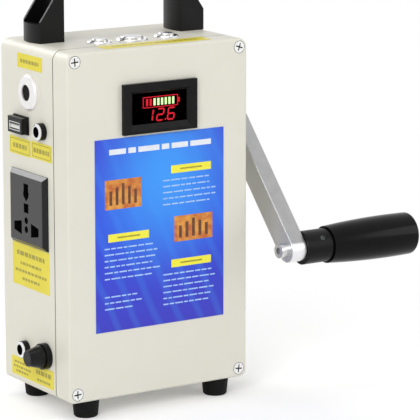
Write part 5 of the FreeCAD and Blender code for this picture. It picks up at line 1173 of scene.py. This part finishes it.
# printing on the yellow stickers: border lines and dashes
stickerPrint = {
    "sideFace": -60.25,
    "topFace": 211.75,
    "line": 0.4,
    # front edge, back edge, bottom, top of each sheet that has a border line
    "borders": [(4.1, 28.3, 146.55, 156.45), (-20.2, 2.8, 147.15, 156.85)],
    "borderInset": 1.2,
    # rows: middle, up, length, height of the dashes, count
    "rows": [
        (4.0, 201.4, 21.0, 2.1, 7),
        (16.2, 151.5, 16.0, 2.6, 5),
        (-8.7, 152.0, 18.0, 2.6, 6),
        (5.2, 89.0, 32.0, 2.6, 8),
        (5.2, 83.2, 24.0, 1.6, 7),
        (5.2, 78.6, 36.0, 1.6, 10),
        (5.2, 74.2, 20.0, 1.6, 6),
        (17.0, 22.9, 18.0, 1.3, 6),
        (17.0, 20.2, 20.0, 1.3, 7),
        (17.0, 17.6, 14.0, 1.3, 5),
        (-8.0, 22.0, 17.0, 2.6, 5),
        (-8.0, 17.5, 15.0, 1.4, 6),
    ],
    "topRows": [(3.0, -28.0, 56.0, 2.6, 16)],
    "gap": 0.9,
    "gapShare": 0.25,  # of a dash and its gap, in short rows
    "dashShares": (0.6, 1.5),
    "seed": 5,
}


def onSide(across, up, out):
    return at(stickerPrint["sideFace"] - out, -across, up)


def onTop(across, back, out):
    return at(across, back, stickerPrint["topFace"] + out)


def dashRow(chance, middle, up, length, height, count):
    gap = min(stickerPrint["gap"], stickerPrint["gapShare"] * length / count)
    shares = [chance.uniform(*stickerPrint["dashShares"]) for _ in range(count)]
    unit = (length - gap * (count - 1)) / sum(shares)
    marks, start = [], -length / 2
    for share in shares:
        marks.append((middle + start + share * unit / 2, up, share * unit, height))
        start += share * unit + gap
    return marks


def addStickerPrint(settings):
    chance = random.Random(settings["seed"])
    line, inset = settings["line"], settings["borderInset"]
    marks = []
    for near, far, low, high in settings["borders"]:
        middle, middleUp = -(near + far) / 2, (low + high) / 2
        width, height = far - near - 2 * inset, high - low - 2 * inset
        marks += [
            (middle, low + inset, width, line),
            (middle, high - inset, width, line),
            (-near - inset, middleUp, line, height),
            (-far + inset, middleUp, line, height),
        ]
    for middle, up, length, height, count in settings["rows"]:
        marks += dashRow(chance, -middle, up, length, height, count)
    layPrint("sideStickerMarks", onSide, marks, "printOlive")
    marks = []
    for row in settings["topRows"]:
        marks += dashRow(chance, *row)
    layPrint("topStickerMarks", onTop, marks, "printOlive")


addStickerPrint(stickerPrint)
print("stickers printed")


# pressed metal shell that lines the slot of the charging socket
shellLook = {
    "middle": (13.85, 164.1),
    "size": (12.3, 4.9),
    "mouth": -64.95,
    "length": 10.0,
    "corner": 0.5,
    "wall": 0.4,
}


def addSocketShell(settings):
    shell = roundedBar("socketShell", *settings["size"], settings["length"], settings["corner"], 3)
    bpy.ops.object.mode_set(mode="EDIT")
    bpy.ops.mesh.select_mode(type="FACE")
    pickFaces(shell, lambda z: abs(z) > facing)
    bpy.ops.mesh.delete(type="ONLY_FACE")
    bpy.ops.object.mode_set(mode="OBJECT")
    bpy.ops.object.modifier_add(type="SOLIDIFY")
    wall = shell.modifiers[-1]
    wall.thickness = settings["wall"]
    wall.offset = -1
    bpy.ops.object.modifier_apply(modifier=wall.name)
    middleY, middleZ = settings["middle"]
    for vertex in shell.data.vertices:
        x, y, z = vertex.co
        vertex.co = at(settings["mouth"] + settings["length"] / 2 - z, middleY - x, middleZ + y)
    tidyMesh(shell)
    dress(shell, "chrome")


addSocketShell(shellLook)
print("socket shell lined")


# set screw in the collar of the grip
setScrewLook = {
    "sides": 48,
    "headRadius": 1.45,
    "shankRadius": 0.9,
    "headBottom": 9.6,  # reaches from the axis of the collar
    "headTop": 9.95,
    "shankBottom": 7.4,
    "along": 10.75,
    "angle": 51.0,
    "socketRadius": 0.7,
    "socketDepth": 0.25,
    "bevel": 0.1,
}


def addSetScrew(settings):
    armHigh = Vector(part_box("crank_arm")[1])
    low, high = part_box("spindle_screw")
    centre = (Vector(low) + Vector(high)) / 2
    bpy.ops.object.select_all(action="DESELECT")
    radius, bevel = settings["headRadius"], settings["bevel"]
    height = settings["headTop"] - settings["headBottom"]
    bpy.ops.mesh.primitive_cylinder_add(
        vertices=settings["sides"], radius=radius, depth=height, location=(0, 0, 0)
    )
    screw = bpy.context.object
    screw.name = "collarSetScrew"
    bpy.ops.object.mode_set(mode="EDIT")
    bpy.ops.mesh.select_mode(type="FACE")
    pickFaces(screw, lambda z: z > facing)
    bpy.ops.mesh.inset(thickness=bevel, depth=0)
    bpy.ops.transform.translate(value=(0, 0, bevel))
    bpy.ops.mesh.inset(thickness=radius - bevel - settings["socketRadius"], depth=0)
    bpy.ops.mesh.extrude_region_move(TRANSFORM_OT_translate={"value": (0, 0, -settings["socketDepth"])})
    pickFaces(screw, lambda z: z < -facing)
    bpy.ops.mesh.inset(thickness=radius - settings["shankRadius"], depth=0)
    drop = settings["shankBottom"] - settings["headBottom"]
    bpy.ops.mesh.extrude_region_move(TRANSFORM_OT_translate={"value": (0, 0, drop)})
    settleOrder(screw)
    bpy.ops.object.mode_set(mode="OBJECT")
    middle = (settings["headTop"] + settings["headBottom"]) / 2
    angle = math.radians(settings["angle"])
    for vertex in screw.data.vertices:
        x, y, z = vertex.co
        out = middle + z
        vertex.co = (
            armHigh.x + (settings["along"] + x) / 1000,
            centre.y + (-out * math.sin(angle) - y * math.cos(angle)) / 1000,
            centre.z + (out * math.cos(angle) - y * math.sin(angle)) / 1000,
        )
    tidyMesh(screw)
    dress(screw, "coatedIron", "crank")


addSetScrew(setScrewLook)
print("set screw seated")
